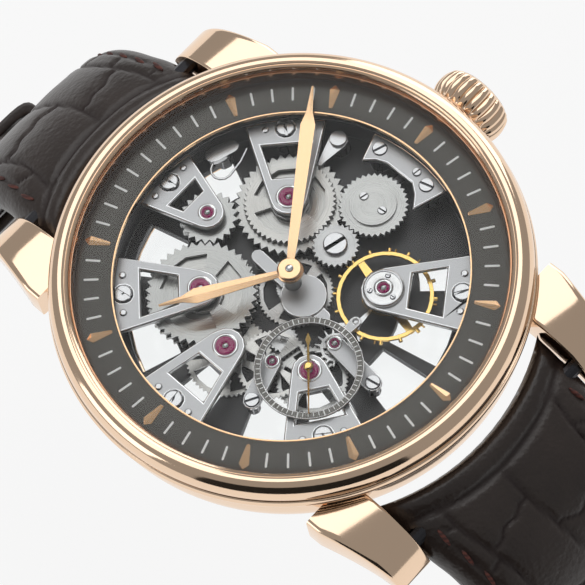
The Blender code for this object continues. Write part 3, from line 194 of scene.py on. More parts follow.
def frosted(name, colour, roughness):
    """Blasted metal: fine even pits in the bump and a slight change of roughness."""
    paint = Paint(name)
    pits = paint.noise(9000.0, 2.0)
    cloud = paint.noise(350.0, 3.0)
    return paint.surface(
        Base_Color=paint.blend(cloud, rgb(*(c * 0.86 for c in colour)), rgb(*colour)), Metallic=1.0,
        Roughness=pits * 0.12 + cloud * 0.06 + roughness,
        Normal=paint.bump(pits, 0.35, 0.02))


def grained(name, colour, roughness, centre, lines=16000.0, anisotropic=0.7, metallic=1.0, contrast=0.25):
    """Metal turned in circles about a centre: noise of the distance to the centre alone makes rings."""
    paint = Paint(name)
    split = paint.node("ShaderNodeVectorMath", {"operation": "SUBTRACT"},
                       {0: paint.place(), 1: (centre[0] * MM, centre[1] * MM, 0.0)})
    flat = paint.node("ShaderNodeVectorMath", {"operation": "MULTIPLY"}, {0: split, 1: (1.0, 1.0, 0.0)})
    radius = paint.node("ShaderNodeVectorMath", {"operation": "LENGTH"}, {0: flat}, "Value")
    rings = paint.node("ShaderNodeTexNoise", {"noise_dimensions": "1D"},
                       {"W": radius, "Scale": lines, "Detail": 2.0})
    broad = paint.node("ShaderNodeTexNoise", {"noise_dimensions": "1D"},
                       {"W": radius, "Scale": lines * 0.08, "Detail": 1.0})
    tone = rings * 0.6 + broad * 0.4
    dark = rgb(*(c * (1.0 - contrast) for c in colour))
    bright = rgb(*(min(1.0, c * (1.0 + contrast * 0.5)) for c in colour))
    return paint.surface(
        Base_Color=paint.blend(tone, dark, bright), Metallic=metallic, Anisotropic=anisotropic,
        Roughness=rings * 0.1 + roughness, Normal=paint.bump(rings, 0.2, 0.006))


ROSE = (0.93, 0.69, 0.5)
rose_gold = polished("rose_gold_polished", ROSE, 0.075, 0.05)
flange_gold = polished("rose_gold_flange", (0.62, 0.34, 0.2), 0.2)
hand_gold = polished("rose_gold_hands", (0.97, 0.63, 0.37), 0.22, 0.04)
frost = frosted("steel_frosted", (0.47, 0.47, 0.48), 0.3)
bevel_steel = polished("steel_bevel_polished", (0.9, 0.9, 0.91), 0.1)
screw_steel = polished("steel_screws", (0.56, 0.56, 0.57), 0.2)
# Near-black steel as painted shade: the floors of the screw slots and the spring bars in the gap at the lugs.
painted_shade_steel = polished("steel_black_painted_shade", (0.05, 0.05, 0.055), 0.25)
plate_grey = frosted("plate_anthracite", (0.06, 0.059, 0.06), 0.34)
plate_edge = polished("plate_edges", (0.25, 0.25, 0.26), 0.2)
balance_gold = polished("balance_gold", (0.86, 0.58, 0.2), 0.18)
dial_grey = grained("dial_grey", (0.078, 0.073, 0.066), 0.3, (0.0, 0.0), 9000.0, 0.75, 0.85)
print("metal finishes:", len(bpy.data.materials))

# %% [markdown]
# ## Ruby, print and crystal
# Rubies are clear pink stones in steel seats; a coat gives the polish.
# The crystal has an anti-glare layer, so it shows only a trace of the room: a mix of clear and gloss,
# led by Fresnel and kept weak.

# %% Stone, print and crystal
def ruby_stone():
    paint = Paint("ruby")
    depth = paint.noise(2500.0, 2.0)
    colour = paint.blend(depth, rgb(0.2, 0.003, 0.07), rgb(0.5, 0.012, 0.17))
    return paint.surface(Base_Color=colour, Roughness=depth * 0.08 + 0.08, Coat_Weight=0.25)


def white_print():
    paint = Paint("white_print")
    grain = paint.noise(6000.0, 2.0)
    return paint.surface(Base_Color=paint.blend(grain, rgb(0.93, 0.93, 0.91), rgb(0.99, 0.99, 0.98)),
                         Roughness=grain * 0.1 + 0.45)


def clear_crystal(name, gloss):
    paint = Paint(name)
    clear = paint.node("ShaderNodeBsdfTransparent", {}, {"Color": rgb(0.985, 0.99, 0.99)})
    shine = paint.node("ShaderNodeBsdfGlossy", {}, {"Color": rgb(1.0, 1.0, 1.0), "Roughness": 0.03})
    haze = paint.noise(60.0, 1.0)
    share = paint.node("ShaderNodeFresnel", {}, {"IOR": 1.5}) * gloss * (haze * 0.2 + 0.9)
    paint.node("ShaderNodeOutputMaterial", {}, {
        "Surface": paint.node("ShaderNodeMixShader", {}, {0: share, 1: clear, 2: shine})})
    return paint.material


ruby = ruby_stone()
white = white_print()
crystal_front = clear_crystal("sapphire_front", 0.22)
crystal_back = clear_crystal("sapphire_back", 0.3)

# %% [markdown]
# ## Alligator leather
# The strap's scales are real shape, made further down, which also stores how deep each point lies in a crease,
# the stitched channel, the seam or a hole. The finish paints shade from that number: there the leather goes a darker
# red-brown and dull; scale tops keep a waxed sheen.
# Fine wrinkles and pores are too small for shape, so they are bump.

# %% Leather and thread
def leather():
    paint = Paint("leather_alligator")
    crease = paint.node("ShaderNodeAttribute", {"attribute_name": "crease"}, output="Fac")
    cloud = paint.noise(220.0, 5.0)
    wrinkle = paint.noise(1500.0, 6.0, (1.0, 1.0, 1.0))
    pores = paint.node("ShaderNodeTexVoronoi", {}, {"Vector": paint.place(), "Scale": 2600.0})
    tops = paint.blend(cloud, rgb(0.017, 0.011, 0.009), rgb(0.045, 0.031, 0.026))
    # Painted shade: the colour goes to a near-black red-brown with the depth in creases, the stitched channel, the seam
    # and the holes.
    colour = paint.blend(crease.at_most(1.0), tops, rgb(0.012, 0.003, 0.002))
    return paint.surface(
        Base_Color=colour, Specular_IOR_Level=0.55,
        Roughness=cloud * 0.16 + crease * 0.3 + 0.27,
        Normal=paint.bump(wrinkle * 0.7 + pores * 0.3, 0.7, 0.1))


def thread():
    paint = Paint("thread_brown")
    twist = paint.node("ShaderNodeTexWave", {"bands_direction": "DIAGONAL"},
                       {"Vector": paint.place(), "Scale": 900.0})
    colour = paint.blend(twist, rgb(0.05, 0.012, 0.009), rgb(0.13, 0.035, 0.024))
    return paint.surface(Base_Color=colour, Roughness=twist * 0.1 + 0.6)


strap_leather = leather()
strap_thread = thread()

# %% [markdown]
# ## From arrays to a mesh
# Every new piece is a grid of points, so its faces follow from the grid's size alone.
# Points that meet, as on an axis, are merged, and normals are made to face outward after that.

# %% Grids, turned pieces and ribbons
def grid_faces(rows, columns, close_rows=True, close_columns=True):
    """Quads between neighbours of a grid whose points are numbered row by row."""
    r = np.arange(rows if close_rows else rows - 1)[:, None]
    c = np.arange(columns if close_columns else columns - 1)[None, :]
    after_r, after_c = (r + 1) % rows, (c + 1) % columns
    corners = (r * columns + c, r * columns + after_c, after_r * columns + after_c, after_r * columns + c)
    return np.stack(np.broadcast_arrays(*corners), axis=-1).reshape(-1, 4)


def piece(name, points, faces, body, paint, smooth=35.0, attributes=None):
    """A mesh from points in millimetres and faces, merged, facing out, riding on a CAD body."""
    mesh = bpy.data.meshes.new(name)
    mesh.from_pydata((np.asarray(points, float).reshape(-1, 3) * MM).tolist(), [],
                     [list(map(int, face)) for face in faces])
    for key, values in (attributes or {}).items():
        layer = mesh.attributes.new(key, "FLOAT", "POINT")
        layer.data.foreach_set("value", np.asarray(values, np.float32).ravel())
    work = bmesh.new()
    work.from_mesh(mesh)
    bmesh.ops.remove_doubles(work, verts=work.verts, dist=1e-6)
    bmesh.ops.recalc_face_normals(work, faces=work.faces)
    work.to_mesh(mesh)
    work.free()
    mesh.materials.append(paint)
    mesh.polygons.foreach_set("use_smooth", np.ones(len(mesh.polygons), bool))
    mesh.set_sharp_from_angle(angle=math.radians(smooth))
    made = bpy.data.objects.new(name, mesh)
    bpy.context.scene.collection.objects.link(made)
    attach(made, body)
    return made


def rounded(profile, size, steps=5):
    """A closed outline whose corners become curves: each corner pulls a quadratic arc between two
    points that lie the given size away from it along its two sides."""
    corner = np.asarray(profile, float)
    before, after = np.roll(corner, 1, 0) - corner, np.roll(corner, -1, 0) - corner
    reach = np.asarray(size, float) * np.ones(len(corner))
    first = np.minimum(reach / np.linalg.norm(before, axis=1), 0.48)[:, None] * before + corner
    last = np.minimum(reach / np.linalg.norm(after, axis=1), 0.48)[:, None] * after + corner
    t = np.linspace(0.0, 1.0, steps)[None, :, None]
    curve = (1 - t) ** 2 * first[:, None] + 2 * t * (1 - t) * corner[:, None] + t ** 2 * last[:, None]
    return curve.reshape(-1, 2)


def turned(profile, steps=192, at=(0.0, 0.0)):
    """A profile of (radius, height) carried round the upright axis through a point."""
    shape = np.asarray(profile, float)
    angle = np.linspace(0.0, 2 * np.pi, steps, endpoint=False)[:, None]
    points = np.stack(np.broadcast_arrays(at[0] + shape[None, :, 0] * np.cos(angle),
                                          at[1] + shape[None, :, 0] * np.sin(angle),
                                          shape[None, :, 1] + 0 * angle), axis=-1)
    return points.reshape(-1, 3), grid_faces(steps, len(shape))


def joined(*shapes):
    """Several (points, faces) as one; the face numbers of each move past the points before it."""
    points = [np.asarray(p, float).reshape(-1, 3) for p, f in shapes]
    starts = np.cumsum([0] + [len(p) for p in points[:-1]])
    faces = [[n + int(start) for n in face] for (p, fs), start in zip(shapes, starts) for face in fs]
    return np.concatenate(points), faces

# %% [markdown]
# ## CAD metal with filed edges
# Bridges and wheels already have the right outline in the CAD node. A copy is merged into plain faces,
# and a Bevel modifier files its edges, giving the new faces their own polished finish.

# %% A bevelled copy of a CAD node
def dressed(node, paint, edge_paint=None, width=0.0, segments=2, angle=30.0):
    """A copy of a CAD node, merged and flattened into plain faces, with its sharp edges bevelled."""
    mesh = nodes[node].data.copy()
    mesh.name = node + "_dressed"
    for key in ("custom_normal", "sharp_face", "sharp_edge"):
        if key in mesh.attributes:
            mesh.attributes.remove(mesh.attributes[key])
    work = bmesh.new()
    work.from_mesh(mesh)
    bmesh.ops.remove_doubles(work, verts=work.verts, dist=1.5e-6)
    bmesh.ops.dissolve_limit(work, angle_limit=math.radians(1.0), verts=work.verts, edges=work.edges)
    work.to_mesh(mesh)
    work.free()
    mesh.materials.clear()
    mesh.materials.append(paint)
    mesh.polygons.foreach_set("material_index", np.zeros(len(mesh.polygons), np.int32))
    mesh.polygons.foreach_set("use_smooth", np.ones(len(mesh.polygons), bool))
    mesh.set_sharp_from_angle(angle=math.radians(angle))
    made = bpy.data.objects.new(node + "_dressed", mesh)
    bpy.context.scene.collection.objects.link(made)
    if width:
        if edge_paint:
            mesh.materials.append(edge_paint)
        bevel = made.modifiers.new("filed_edge", "BEVEL")
        bevel.limit_method = "ANGLE"
        bevel.angle_limit = math.radians(angle)
        bevel.width = width * MM
        bevel.segments = segments
        bevel.use_clamp_overlap = False
        bevel.harden_normals = True
        bevel.material = 1 if edge_paint else -1
    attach(made, body_of_node[node])
    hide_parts(node)
    return made


BRIDGES = ("barrel_bridge_left", "barrel_bridge_right", "top_bridge", "left_bridge", "seconds_bridge",
           "balance_bridge", "crown_wheel_bridge")
for name in BRIDGES:
    dressed(name, frost, bevel_steel, 0.17)
for name in ("centre_cap", "third_cock", "escape_cock"):
    dressed(name, frost, bevel_steel, 0.08)
dressed("mainplate", plate_grey, plate_edge, 0.06, 1)
dressed("case_back_ring", rose_gold, rose_gold, 0.1)
for name in ("buckle_frame", "buckle_tang"):
    dressed(name, rose_gold, rose_gold, 0.3, 3)
for name in ("click", "click_spring", "pallet_fork", "click_screw"):
    dressed(name, screw_steel, bevel_steel, 0.04, 1)

# %% [markdown]
# ## Wheels
# Each wheel keeps its own circular grain, so each needs a finish centred on its own axis.
# A narrow bevel on the teeth catches light, as the maker's file does.

# %% Wheels with their own grain
WHEELS = {
    "left_barrel_drum": (0.46, 0.455, 0.44), "right_barrel_drum": (0.46, 0.455, 0.44),
    "left_arbor_wheel": (0.42, 0.42, 0.41), "transfer_wheel": (0.45, 0.45, 0.44),
    "ratchet_wheel": (0.5, 0.49, 0.47), "crown_wheel": (0.46, 0.46, 0.45),
    "winding_idler": (0.46, 0.46, 0.46), "great_wheel": (0.46, 0.45, 0.43), "third_wheel": (0.55, 0.54, 0.52),
    "fourth_wheel": (0.5, 0.5, 0.49), "escape_wheel": (0.6, 0.6, 0.6), "minute_idler": (0.5, 0.5, 0.5),
    "centre_wheel": (0.5, 0.49, 0.48), "motion_wheel": (0.5, 0.5, 0.5), "hour_wheel": (0.5, 0.5, 0.5),
}
centre_of = {}
for joint in frame["joints"]:
    if joint["type"] == "hinge":
        centre_of[joint["child"]] = (joint["pos_m"][0] / MM, joint["pos_m"][1] / MM)
for name, colour in WHEELS.items():
    finish = grained(name + "_grain", colour, 0.24, centre_of[body_of_node[name]], 14000.0, 0.75, 1.0, 0.35)
    dressed(name, finish, bevel_steel, 0.03, 1)
dressed("balance_wheel", balance_gold, balance_gold, 0.03, 1)
print("wheels:", len(WHEELS) + 1)

# %% [markdown]
# ## Bezel, flange and dial ring
# These are turned on a lathe, so a profile carried round the axis is exact. The bezel is one broad
# rounded band over a thin groove and a thin lower ring; its corners are eased with small curves.

# %% Turned case rings
def arc_points(centre, radius, start, end, count):
    """Points of an ellipse arc: the centre plus the two radii times cosine and sine of the angle."""
    a = np.radians(np.linspace(start, end, count))
    return np.stack([centre[0] + radius[0] * np.cos(a), centre[1] + radius[1] * np.sin(a)], axis=1)


band = arc_points((19.35, 6.5), (1.2, 1.48), 92.0, 0.0, 22)
bezel_profile = np.concatenate([
    rounded([(19.42, 4.97), (19.42, 5.8), (18.82, 5.8), (18.82, 7.2), (18.64, 7.26), (18.64, 7.62)], 0.03, 3),
    [(18.66, 7.72), (18.76, 7.82), (18.92, 7.9), (18.97, 7.86), (19.02, 7.86), (19.07, 7.93)], band,
    [(20.52, 6.34), (20.4, 6.24), (20.26, 6.2), (20.26, 6.12), (20.42, 6.08), (20.62, 6.04)],
    arc_points((20.45, 5.62), (0.3, 0.4), 50.0, -75.0, 9), [(20.4, 4.97)]])
bezel = piece("bezel_band", *turned(bezel_profile, 288), "case", rose_gold, 50.0)
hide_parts("bezel")
flange = piece("flange_slope", *turned(rounded([(18.36, 6.25), (18.5, 7.2), (18.7, 7.2), (18.7, 6.25)], 0.03, 3),
                                       288), "case", flange_gold)
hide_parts("flange_ring")
dial_profile = rounded([(15.15, 5.8), (15.15, 6.2), (18.7, 6.2), (18.7, 5.8)], 0.06, 3)
dial = piece("dial_plate", *turned(dial_profile, 288), "case", dial_grey)
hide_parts("dial_ring")
rim_profile = rounded([(15.12, 5.83), (15.12, 6.24), (15.26, 6.24), (15.3, 6.2), (15.3, 5.83)], 0.03, 3)
piece("dial_inner_rim", *turned(rim_profile, 288), "case", hand_gold)

# %% [markdown]
# ## Case middle and lugs
# The case middle is turned as well. A lug is a bar that curves down to its tip and narrows:
# a squared section with eased corners slides along two curves, one for its back and one for its belly.

# %% Case middle and lugs
middle_profile = rounded([(16.1, 1.25), (16.1, 5.75), (19.3, 5.75), (19.3, 4.88), (20.2, 4.88), (20.15, 2.0),
                          (19.2, 0.4), (18.4, 0.3), (18.4, 1.25)], [0.05, 0.05, 0.05, 0.05, 0.15, 0.9, 0.5, 0.1, 0.05])
middle = piece("case_ring", *turned(middle_profile, 288), "case", rose_gold)
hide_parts("case_middle")


def bezier(corners, t):
    """A cubic curve: its four corners weighted by the Bernstein polynomials of t."""
    p = np.asarray(corners, float)
    t = t[:, None]
    return (1 - t) ** 3 * p[0] + 3 * t * (1 - t) ** 2 * p[1] + 3 * t * t * (1 - t) * p[2] + t ** 3 * p[3]


def lug(side_x, side_y):
    """A squared section from x 10.2 to the outer side, between the belly curve and the back curve."""
    t = np.linspace(0.0, 1.0, 40)
    back = bezier([(15.6, 4.7), (20.6, 5.0), (23.3, 3.6), (24.33, 0.35)], t)
    belly = bezier([(15.6, 1.2), (19.8, 1.25), (22.0, 0.4), (23.75, -0.42)], t)
    outer = 15.3 - 1.6 * np.clip((back[:, 0] - 17.0) / 7.3, 0.0, 1.0)
    corner = rounded([(0.0, 0.0), (1.0, 0.0), (1.0, 1.0), (0.0, 1.0)], [0.05, 0.09, 0.13, 0.07], 6)
    across, up = corner[None, :, 0], corner[None, :, 1]
    x = 10.2 + across * (outer[:, None] - 10.2)
    spot = belly[:, None, :] + up[..., None] * (back - belly)[:, None, :]
    points = np.stack([side_x * x, side_y * spot[..., 0], spot[..., 1]], axis=-1)
    count = len(corner)
    tip_middle = points[-1].mean(axis=0)
    tip = (points[-1] - tip_middle) * 0.86 + tip_middle + np.array([0.0, side_y * 0.02, -0.02])
    points = np.concatenate([points.reshape(-1, 3), tip])
    faces = [list(f) for f in grid_faces(41, count, False, True)]
    return points, faces + [list(range(count))[::-1], [40 * count + n for n in range(count)]]


lugs = [lug(side_x, side_y) for side_x in (-1, 1) for side_y in (-1, 1)]
piece("lugs", *joined(*lugs), "case", rose_gold, 40.0)

# %% [markdown]
# ## Crystal
# A thin dome: the height falls with the square of the radius. The underside runs parallel.

# %% The domed crystal
r = np.linspace(0.0, 18.5, 24)
dome = np.stack([r, 8.72 - 0.65 * (r / 18.5) ** 2], axis=1)
under = np.stack([r[::-1], 7.77 - 0.5 * (r[::-1] / 18.5) ** 2], axis=1)
crystal = piece("crystal_dome", *turned(np.concatenate([dome, under]), 192), "case", crystal_front)
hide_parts("crystal")
for slot_of_back in nodes["case_back_crystal"].material_slots:
    slot_of_back.material = crystal_back

# %% [markdown]
# ## Hands, markers and ticks
# A blade is a roof: two flat slopes meet along a ridge, so one side is light and the other dark.
# One function makes every blade from its half width and ridge height at a few stations,
# and the same function, laid flat, prints the minute ticks.

# %% Blades
def blade(stations, half, low, edge, ridge):
    """A roof-shaped blade along +Y: five points across at every station, closed at both ends."""
    y, w = np.asarray(stations, float), np.asarray(half, float)
    base, side, top = (np.asarray(v, float) * np.ones(len(y)) for v in (low, edge, ridge))
    across = np.stack([-w, -w, 0 * w, w, w], axis=1)
    height = np.stack([base, side, top, side, base], axis=1)
    points = np.stack([across, np.repeat(y[:, None], 5, 1), height], axis=-1).reshape(-1, 3)
    last = (len(y) - 1) * 5
    faces = [list(f) for f in grid_faces(len(y), 5, False, True)]
    return points, faces + [[0, 1, 2, 3, 4], [last + n for n in (4, 3, 2, 1, 0)]]


def clockwise(points, degrees, at=(0.0, 0.0)):
    """Points turned clockwise from 12 o'clock, about the upright axis, then moved to a centre."""
    a = math.radians(degrees)
    turn = np.array([[math.cos(a), math.sin(a), 0.0], [-math.sin(a), math.cos(a), 0.0], [0.0, 0.0, 1.0]])
    return np.asarray(points, float) @ turn.T + np.array([at[0], at[1], 0.0])


def hand(name, node, body, degrees, base, length, belly, belly_half, hub, bore, roof):
    """A leaf hand: it swells to its belly, narrows past it and carries a turned hub."""
    stations = [hub - 0.2, hub + 1.5, belly, belly + 1.2, length]
    half = [0.32, 0.4, belly_half, 0.28, 0.09]
    leaf = blade(stations, half, base, base + 0.1, [base + roof, base + roof, base + roof, base + roof, base + 0.12])
    eye = turned(rounded([(bore, base), (bore, base + 0.2), (hub - 0.12, base + 0.2), (hub, base + 0.1),
                          (hub, base)], 0.03, 3), 64)
    made = piece(name, *joined((clockwise(leaf[0], degrees), leaf[1]), eye), body, hand_gold, 12.0)
    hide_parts(node)


hand("hour_hand_leaf", "hour_hand", "hour_wheel", 303.9, 6.5, 11.4, 8.2, 0.7, 1.15, 0.7, 0.18)
hand("minute_hand_leaf", "minute_hand", "centre_wheel", 54.0, 6.92, 17.3, 13.6, 0.64, 1.05, 0.33, 0.18)
cap = turned([(0.0, 7.3), (0.2, 7.28), (0.3, 7.2), (0.32, 7.0), (0.0, 7.0)], 32)
piece("centre_pivot", *cap, "centre_wheel", bevel_steel)

FOURTH = centre_of[body_of_node["fourth_wheel"]]
needle = blade([0.3, 4.3], [0.11, 0.04], 5.6, 5.64, [5.74, 5.68])
tail = blade([-3.0, -2.4, -1.9, -0.3], [0.03, 0.24, 0.08, 0.12], 5.6, 5.64, 5.7)
boss = turned([(0.0, 5.6), (0.0, 5.86), (0.24, 5.84), (0.34, 5.76), (0.42, 5.6)], 32)
parts = [(clockwise(p, 227.0, FOURTH), f) for p, f in (needle, tail)]
seconds = piece("seconds_needle", *joined(*parts, (boss[0] + np.array([FOURTH[0], FOURTH[1], 0.0]), boss[1])),
                "fourth_wheel", balance_gold, 12.0)
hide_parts("seconds_hand")

marker = blade([15.75, 15.8, 17.55, 17.98], [0.1, 0.16, 0.44, 0.03], 6.19, 6.24, [6.26, 6.32, 6.37, 6.24])
hours = [(clockwise(marker[0], 30.0 * n), marker[1]) for n in range(1, 12)]
piece("hour_markers", *joined(*hours), "case", hand_gold, 12.0)
tick = blade([16.3, 16.36, 17.54, 17.6], [0.04, 0.1, 0.1, 0.04], 6.19, 6.21, 6.212)
minutes = [(clockwise(tick[0], 6.0 * n), tick[1]) for n in range(60) if n % 5 or n == 0]
piece("minute_ticks", *joined(*minutes), "case", white, 12.0)
small = blade([4.12, 4.44], [0.035, 0.035], 5.345, 5.362, 5.364)
long = blade([4.08, 4.56], [0.055, 0.055], 5.345, 5.362, 5.364)
marks = [(clockwise((small if n % 5 else long)[0], 6.0 * n, FOURTH), small[1]) for n in range(60)]
piece("seconds_ticks", *joined(*marks), "case", white, 12.0)
dressed("seconds_ring", grained("seconds_ring_grain", (0.14, 0.135, 0.125), 0.3, FOURTH, 9000.0), bevel_steel, 0.07)
print("markers and ticks:", len(hours), len(minutes), len(marks))

# %% [markdown]
# ## Jewels and screws
# A jewel is a ruby ring in a bright countersunk seat, with the steel pivot in its eye.
# A screw head is two half moons on a disc: the gap between them is the slot, and the near-black disc in it is painted
# shade.

# %% Jewels
def jewel(name, at, top, radius, body="case"):
    """A turned seat, a turned ruby ring with a rounded top, and a small domed pivot."""
    seat = rounded([(radius, top - 0.02), (radius + 0.02, top + 0.02), (radius + 0.1, top + 0.09),
                    (radius + 0.24, top + 0.05), (radius + 0.3, top - 0.02)], 0.03, 3)
    stone = rounded([(0.24, top - 0.02), (0.27, top + 0.03), (0.42, top + 0.1), (radius - 0.12, top + 0.1),
                     (radius - 0.01, top + 0.03), (radius - 0.01, top - 0.02)], 0.05, 3)
    piece(name + "_seat", *turned(seat, 48, at), body, bevel_steel)
    piece(name + "_stone", *turned(stone, 48, at), body, ruby)
    pivot = [(0.0, top + 0.14), (0.12, top + 0.13), (0.22, top + 0.06), (0.23, top - 0.02), (0.0, top - 0.02)]
    piece(name + "_pivot", *turned(pivot, 24, at), body, screw_steel)


BRIDGE_TOP = 4.7
JEWELS = {
    "jewel_barrel_left": (centre_of["left_barrel_drum"], 0.85),
    "jewel_barrel_right": (centre_of["right_barrel_drum"], 0.85),
    "jewel_transfer": (centre_of["transfer_wheel"], 0.55), "jewel_great": (centre_of["great_wheel"], 0.85),
    "jewel_fourth": (centre_of["fourth_wheel"], 0.8), "jewel_balance": (centre_of["balance_wheel"], 0.5),
}
for name, (at, radius) in JEWELS.items():
    jewel(name, at, BRIDGE_TOP + (0.3 if name == "jewel_balance" else 0.0), radius)
for name, node in (("jewel_third", "third_cock"), ("jewel_escape", "escape_cock")):
    jewel(name, centre_of["third_wheel" if node == "third_cock" else "escape_wheel"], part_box(node)[1].z / MM, 0.42)

# %% [markdown]
# ## Screws
# A movement screw is a flat polished disc with a straight slot. A boolean cut would do, but two half moons
# over a lower floor give a crisp slot with few faces. The floor is near-black: painted shade in the slot.

# %% Slotted screws and polished pins
def half_moon(radius, slot, low, top, degrees, side):
    """Half a disc beside a slot: an arc from one slot edge to the other, its top edge drawn in a little."""
    lean = math.asin(slot / radius)
    a = np.linspace(lean, math.pi - lean, 15)
    rim = np.stack([radius * np.cos(a), radius * np.sin(a)], axis=1)
    middle = np.array([0.0, radius * 0.5])
    rings = [(rim, low), (rim, top - 0.05), ((rim - middle) * 0.92 + middle, top)]
    points = np.concatenate([np.column_stack([ring, np.full(15, z)]) for ring, z in rings])
    faces = [list(f) for f in grid_faces(3, 15, False, True)]
    faces += [list(range(15))[::-1], [30 + n for n in range(15)]]
    return clockwise(points, degrees + (0.0 if side > 0 else 180.0)), faces


def screw(at, radius, low, top, degrees):
    """A screw head as two shapes: a half moon on each side of the slot, and the dark disc under both, whose black is
    painted shade in the slot and in a thin ring round the head.
    """
    floor = turned([(0.0, low), (radius + 0.05, low), (radius + 0.05, top - 0.12), (0.0, top - 0.12)], 28)
    moons = joined(*[half_moon(radius, radius * 0.15, top - 0.13, top, degrees, side) for side in (1, -1)])
    centre = np.array([at[0], at[1], 0.0])
    return (moons[0] + centre, moons[1]), (floor[0] + centre, floor[1])


heads, floors = [], []
for number, node in enumerate(n for n in sorted(nodes) if n.startswith("screw_")):
    low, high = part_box(node)
    at = ((low.x + high.x) / 2 / MM, (low.y + high.y) / 2 / MM)
    top = high.z / MM
    radius = (high.x - low.x) / 2 / MM
    if radius > 1.5:
        radius = 0.75
        angle = math.atan2(at[1], at[0])
        at = (14.45 * math.cos(angle), 14.45 * math.sin(angle))
    print(node, "at", [round(v, 2) for v in at], "top", round(top, 2), "radius", round(radius, 2))
    moons, floor = screw(at, radius - 0.03, top - 0.02, top + 0.1, 35.0 + 47.0 * number)
    heads.append(moons)
    floors.append(floor)
    across = np.array([-at[1], at[0]]) / math.hypot(*at)
    for side in (-1.75, 1.75):
        pin = turned([(0.0, 4.86), (0.22, 4.84), (0.32, 4.76), (0.34, 4.68), (0.0, 4.68)], 20,
                     (at[0] + across[0] * side, at[1] + across[1] * side))
        heads.append(pin)
    for slot_of_screw in nodes[node].material_slots:
        slot_of_screw.material = screw_steel
EXTRA = (((13.95, 2.6), 0.62, "crown_wheel_bridge", 20.0), ((13.9, -2.8), 0.62, "crown_wheel_bridge", 75.0),
         ((14.3, -1.35), 0.35, "crown_wheel_bridge", 10.0), ((-10.05, -4.5), 0.62, "third_cock", 30.0),
         ((-2.34, -11.2), 0.62, "escape_cock", 80.0))
for at, radius, node, degrees in EXTRA:
    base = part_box(node)[1].z / MM
    moons, floor = screw(at, radius, base - 0.02, base + 0.16, degrees)
    heads.append(moons)
    floors.append(floor)
piece("screw_heads", *joined(*heads), "case", screw_steel, 30.0)
piece("screw_slots", *joined(*floors), "case", painted_shade_steel, 30.0)
for name, body, spots in (("crown_wheel_screws", "crown_wheel", (((9.9, 0.85), 0.36), ((9.9, -1.25), 0.36))),
                          ("idler_screw", "winding_idler", ((centre_of["winding_idler"], 1.0),))):
    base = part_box(body)[1].z / MM
    pairs = [screw(at, radius, base - 0.02, base + 0.12, 15.0 + 70.0 * n) for n, (at, radius) in enumerate(spots)]
    piece(name, *joined(*[pair[0] for pair in pairs]), body, screw_steel, 30.0)
    piece(name + "_slots", *joined(*[pair[1] for pair in pairs]), body, painted_shade_steel, 30.0)
print("screw heads and pins:", len(heads))

# %% [markdown]
# ## Balance
# The hairspring is a flat spiral ribbon that turns with the wheel. It is a spiral whose radius
# grows evenly with the angle, and the ribbon stands on edge. A regulator disc covers the pivot.

# %% Hairspring and regulator
BALANCE = centre_of["balance_wheel"]
turns = np.linspace(0.0, 2 * np.pi * 11.0, 11 * 56)
spiral = 0.55 + (2.05 - 0.55) * turns / turns[-1]
radius_pair = np.stack([spiral - 0.015, spiral - 0.015, spiral + 0.015, spiral + 0.015], axis=1)
height_pair = np.array([3.62, 3.8, 3.8, 3.62])[None, :] + 0 * radius_pair
ribbon = np.stack([BALANCE[0] + radius_pair * np.cos(turns)[:, None],
                   BALANCE[1] + radius_pair * np.sin(turns)[:, None], height_pair], axis=-1)
ends = [[0, 1, 2, 3], [len(turns) * 4 - n for n in (1, 2, 3, 4)]]
piece("hairspring", ribbon.reshape(-1, 3), [list(f) for f in grid_faces(len(turns), 4, False, True)] + ends,
      "balance_wheel", balance_gold)
disc = turned(rounded([(0.82, 4.69), (0.82, 4.98), (1.5, 4.98), (1.78, 4.86), (1.8, 4.69)], 0.04, 3), 72, BALANCE)
piece("regulator_disc", *disc, "case", grained("regulator_grain", (0.66, 0.66, 0.66), 0.2, BALANCE, 14000.0))
ring = turned(rounded([(1.5, 4.97), (1.5, 5.05), (1.62, 5.05), (1.7, 4.94)], 0.02, 3), 72, BALANCE)
screws = [screw((BALANCE[0] + 1.18 * math.cos(a), BALANCE[1] + 1.18 * math.sin(a)), 0.2, 4.97, 5.12, 40.0 + 50 * a)
          for a in (0.4, 2.5, 4.6)]
piece("regulator_ring", *joined(ring, *[pair[0] for pair in screws]), "case", screw_steel)
piece("regulator_slots", *joined(*[pair[1] for pair in screws]), "case", painted_shade_steel)

# %% [markdown]
# ## Timing screws
# Small gold screws round the balance rim trim its weight. They are short cylinders, so one grid is repeated
# round the rim instead of modelling each screw.

# %% Timing screws
wheel_low, wheel_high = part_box("balance_wheel")
reach = (wheel_high.x - wheel_low.x) / 2 / MM


def timing_screw(degrees):
    """A stud along +Y through the rim: a profile of (distance, radius) carried round the radial axis."""
    profile = np.array([(reach - 0.72, 0.0), (reach - 0.72, 0.1), (reach - 0.35, 0.1), (reach - 0.33, 0.17),
                        (reach - 0.03, 0.17), (reach - 0.01, 0.1), (reach - 0.01, 0.0)])
    a = np.linspace(0.0, 2 * np.pi, 10, endpoint=False)[:, None]
    y, r = profile[None, :, 0], profile[None, :, 1]
    points = np.stack([r * np.cos(a), y + 0 * a, 3.225 + r * np.sin(a)], axis=-1).reshape(-1, 3)
    return clockwise(points, degrees, BALANCE), grid_faces(10, len(profile), True, False)


piece("timing_screws", *joined(*[timing_screw(22.5 * n + 8.0) for n in range(16)]), "balance_wheel", balance_gold)
print("balance reach:", round(reach, 2))

# %% [markdown]
# ## Crown
# The crown is a barrel with rounded flutes: its radius is the barrel's, less a wave round the axis
# that fades out at both ends, where the metal is eased.

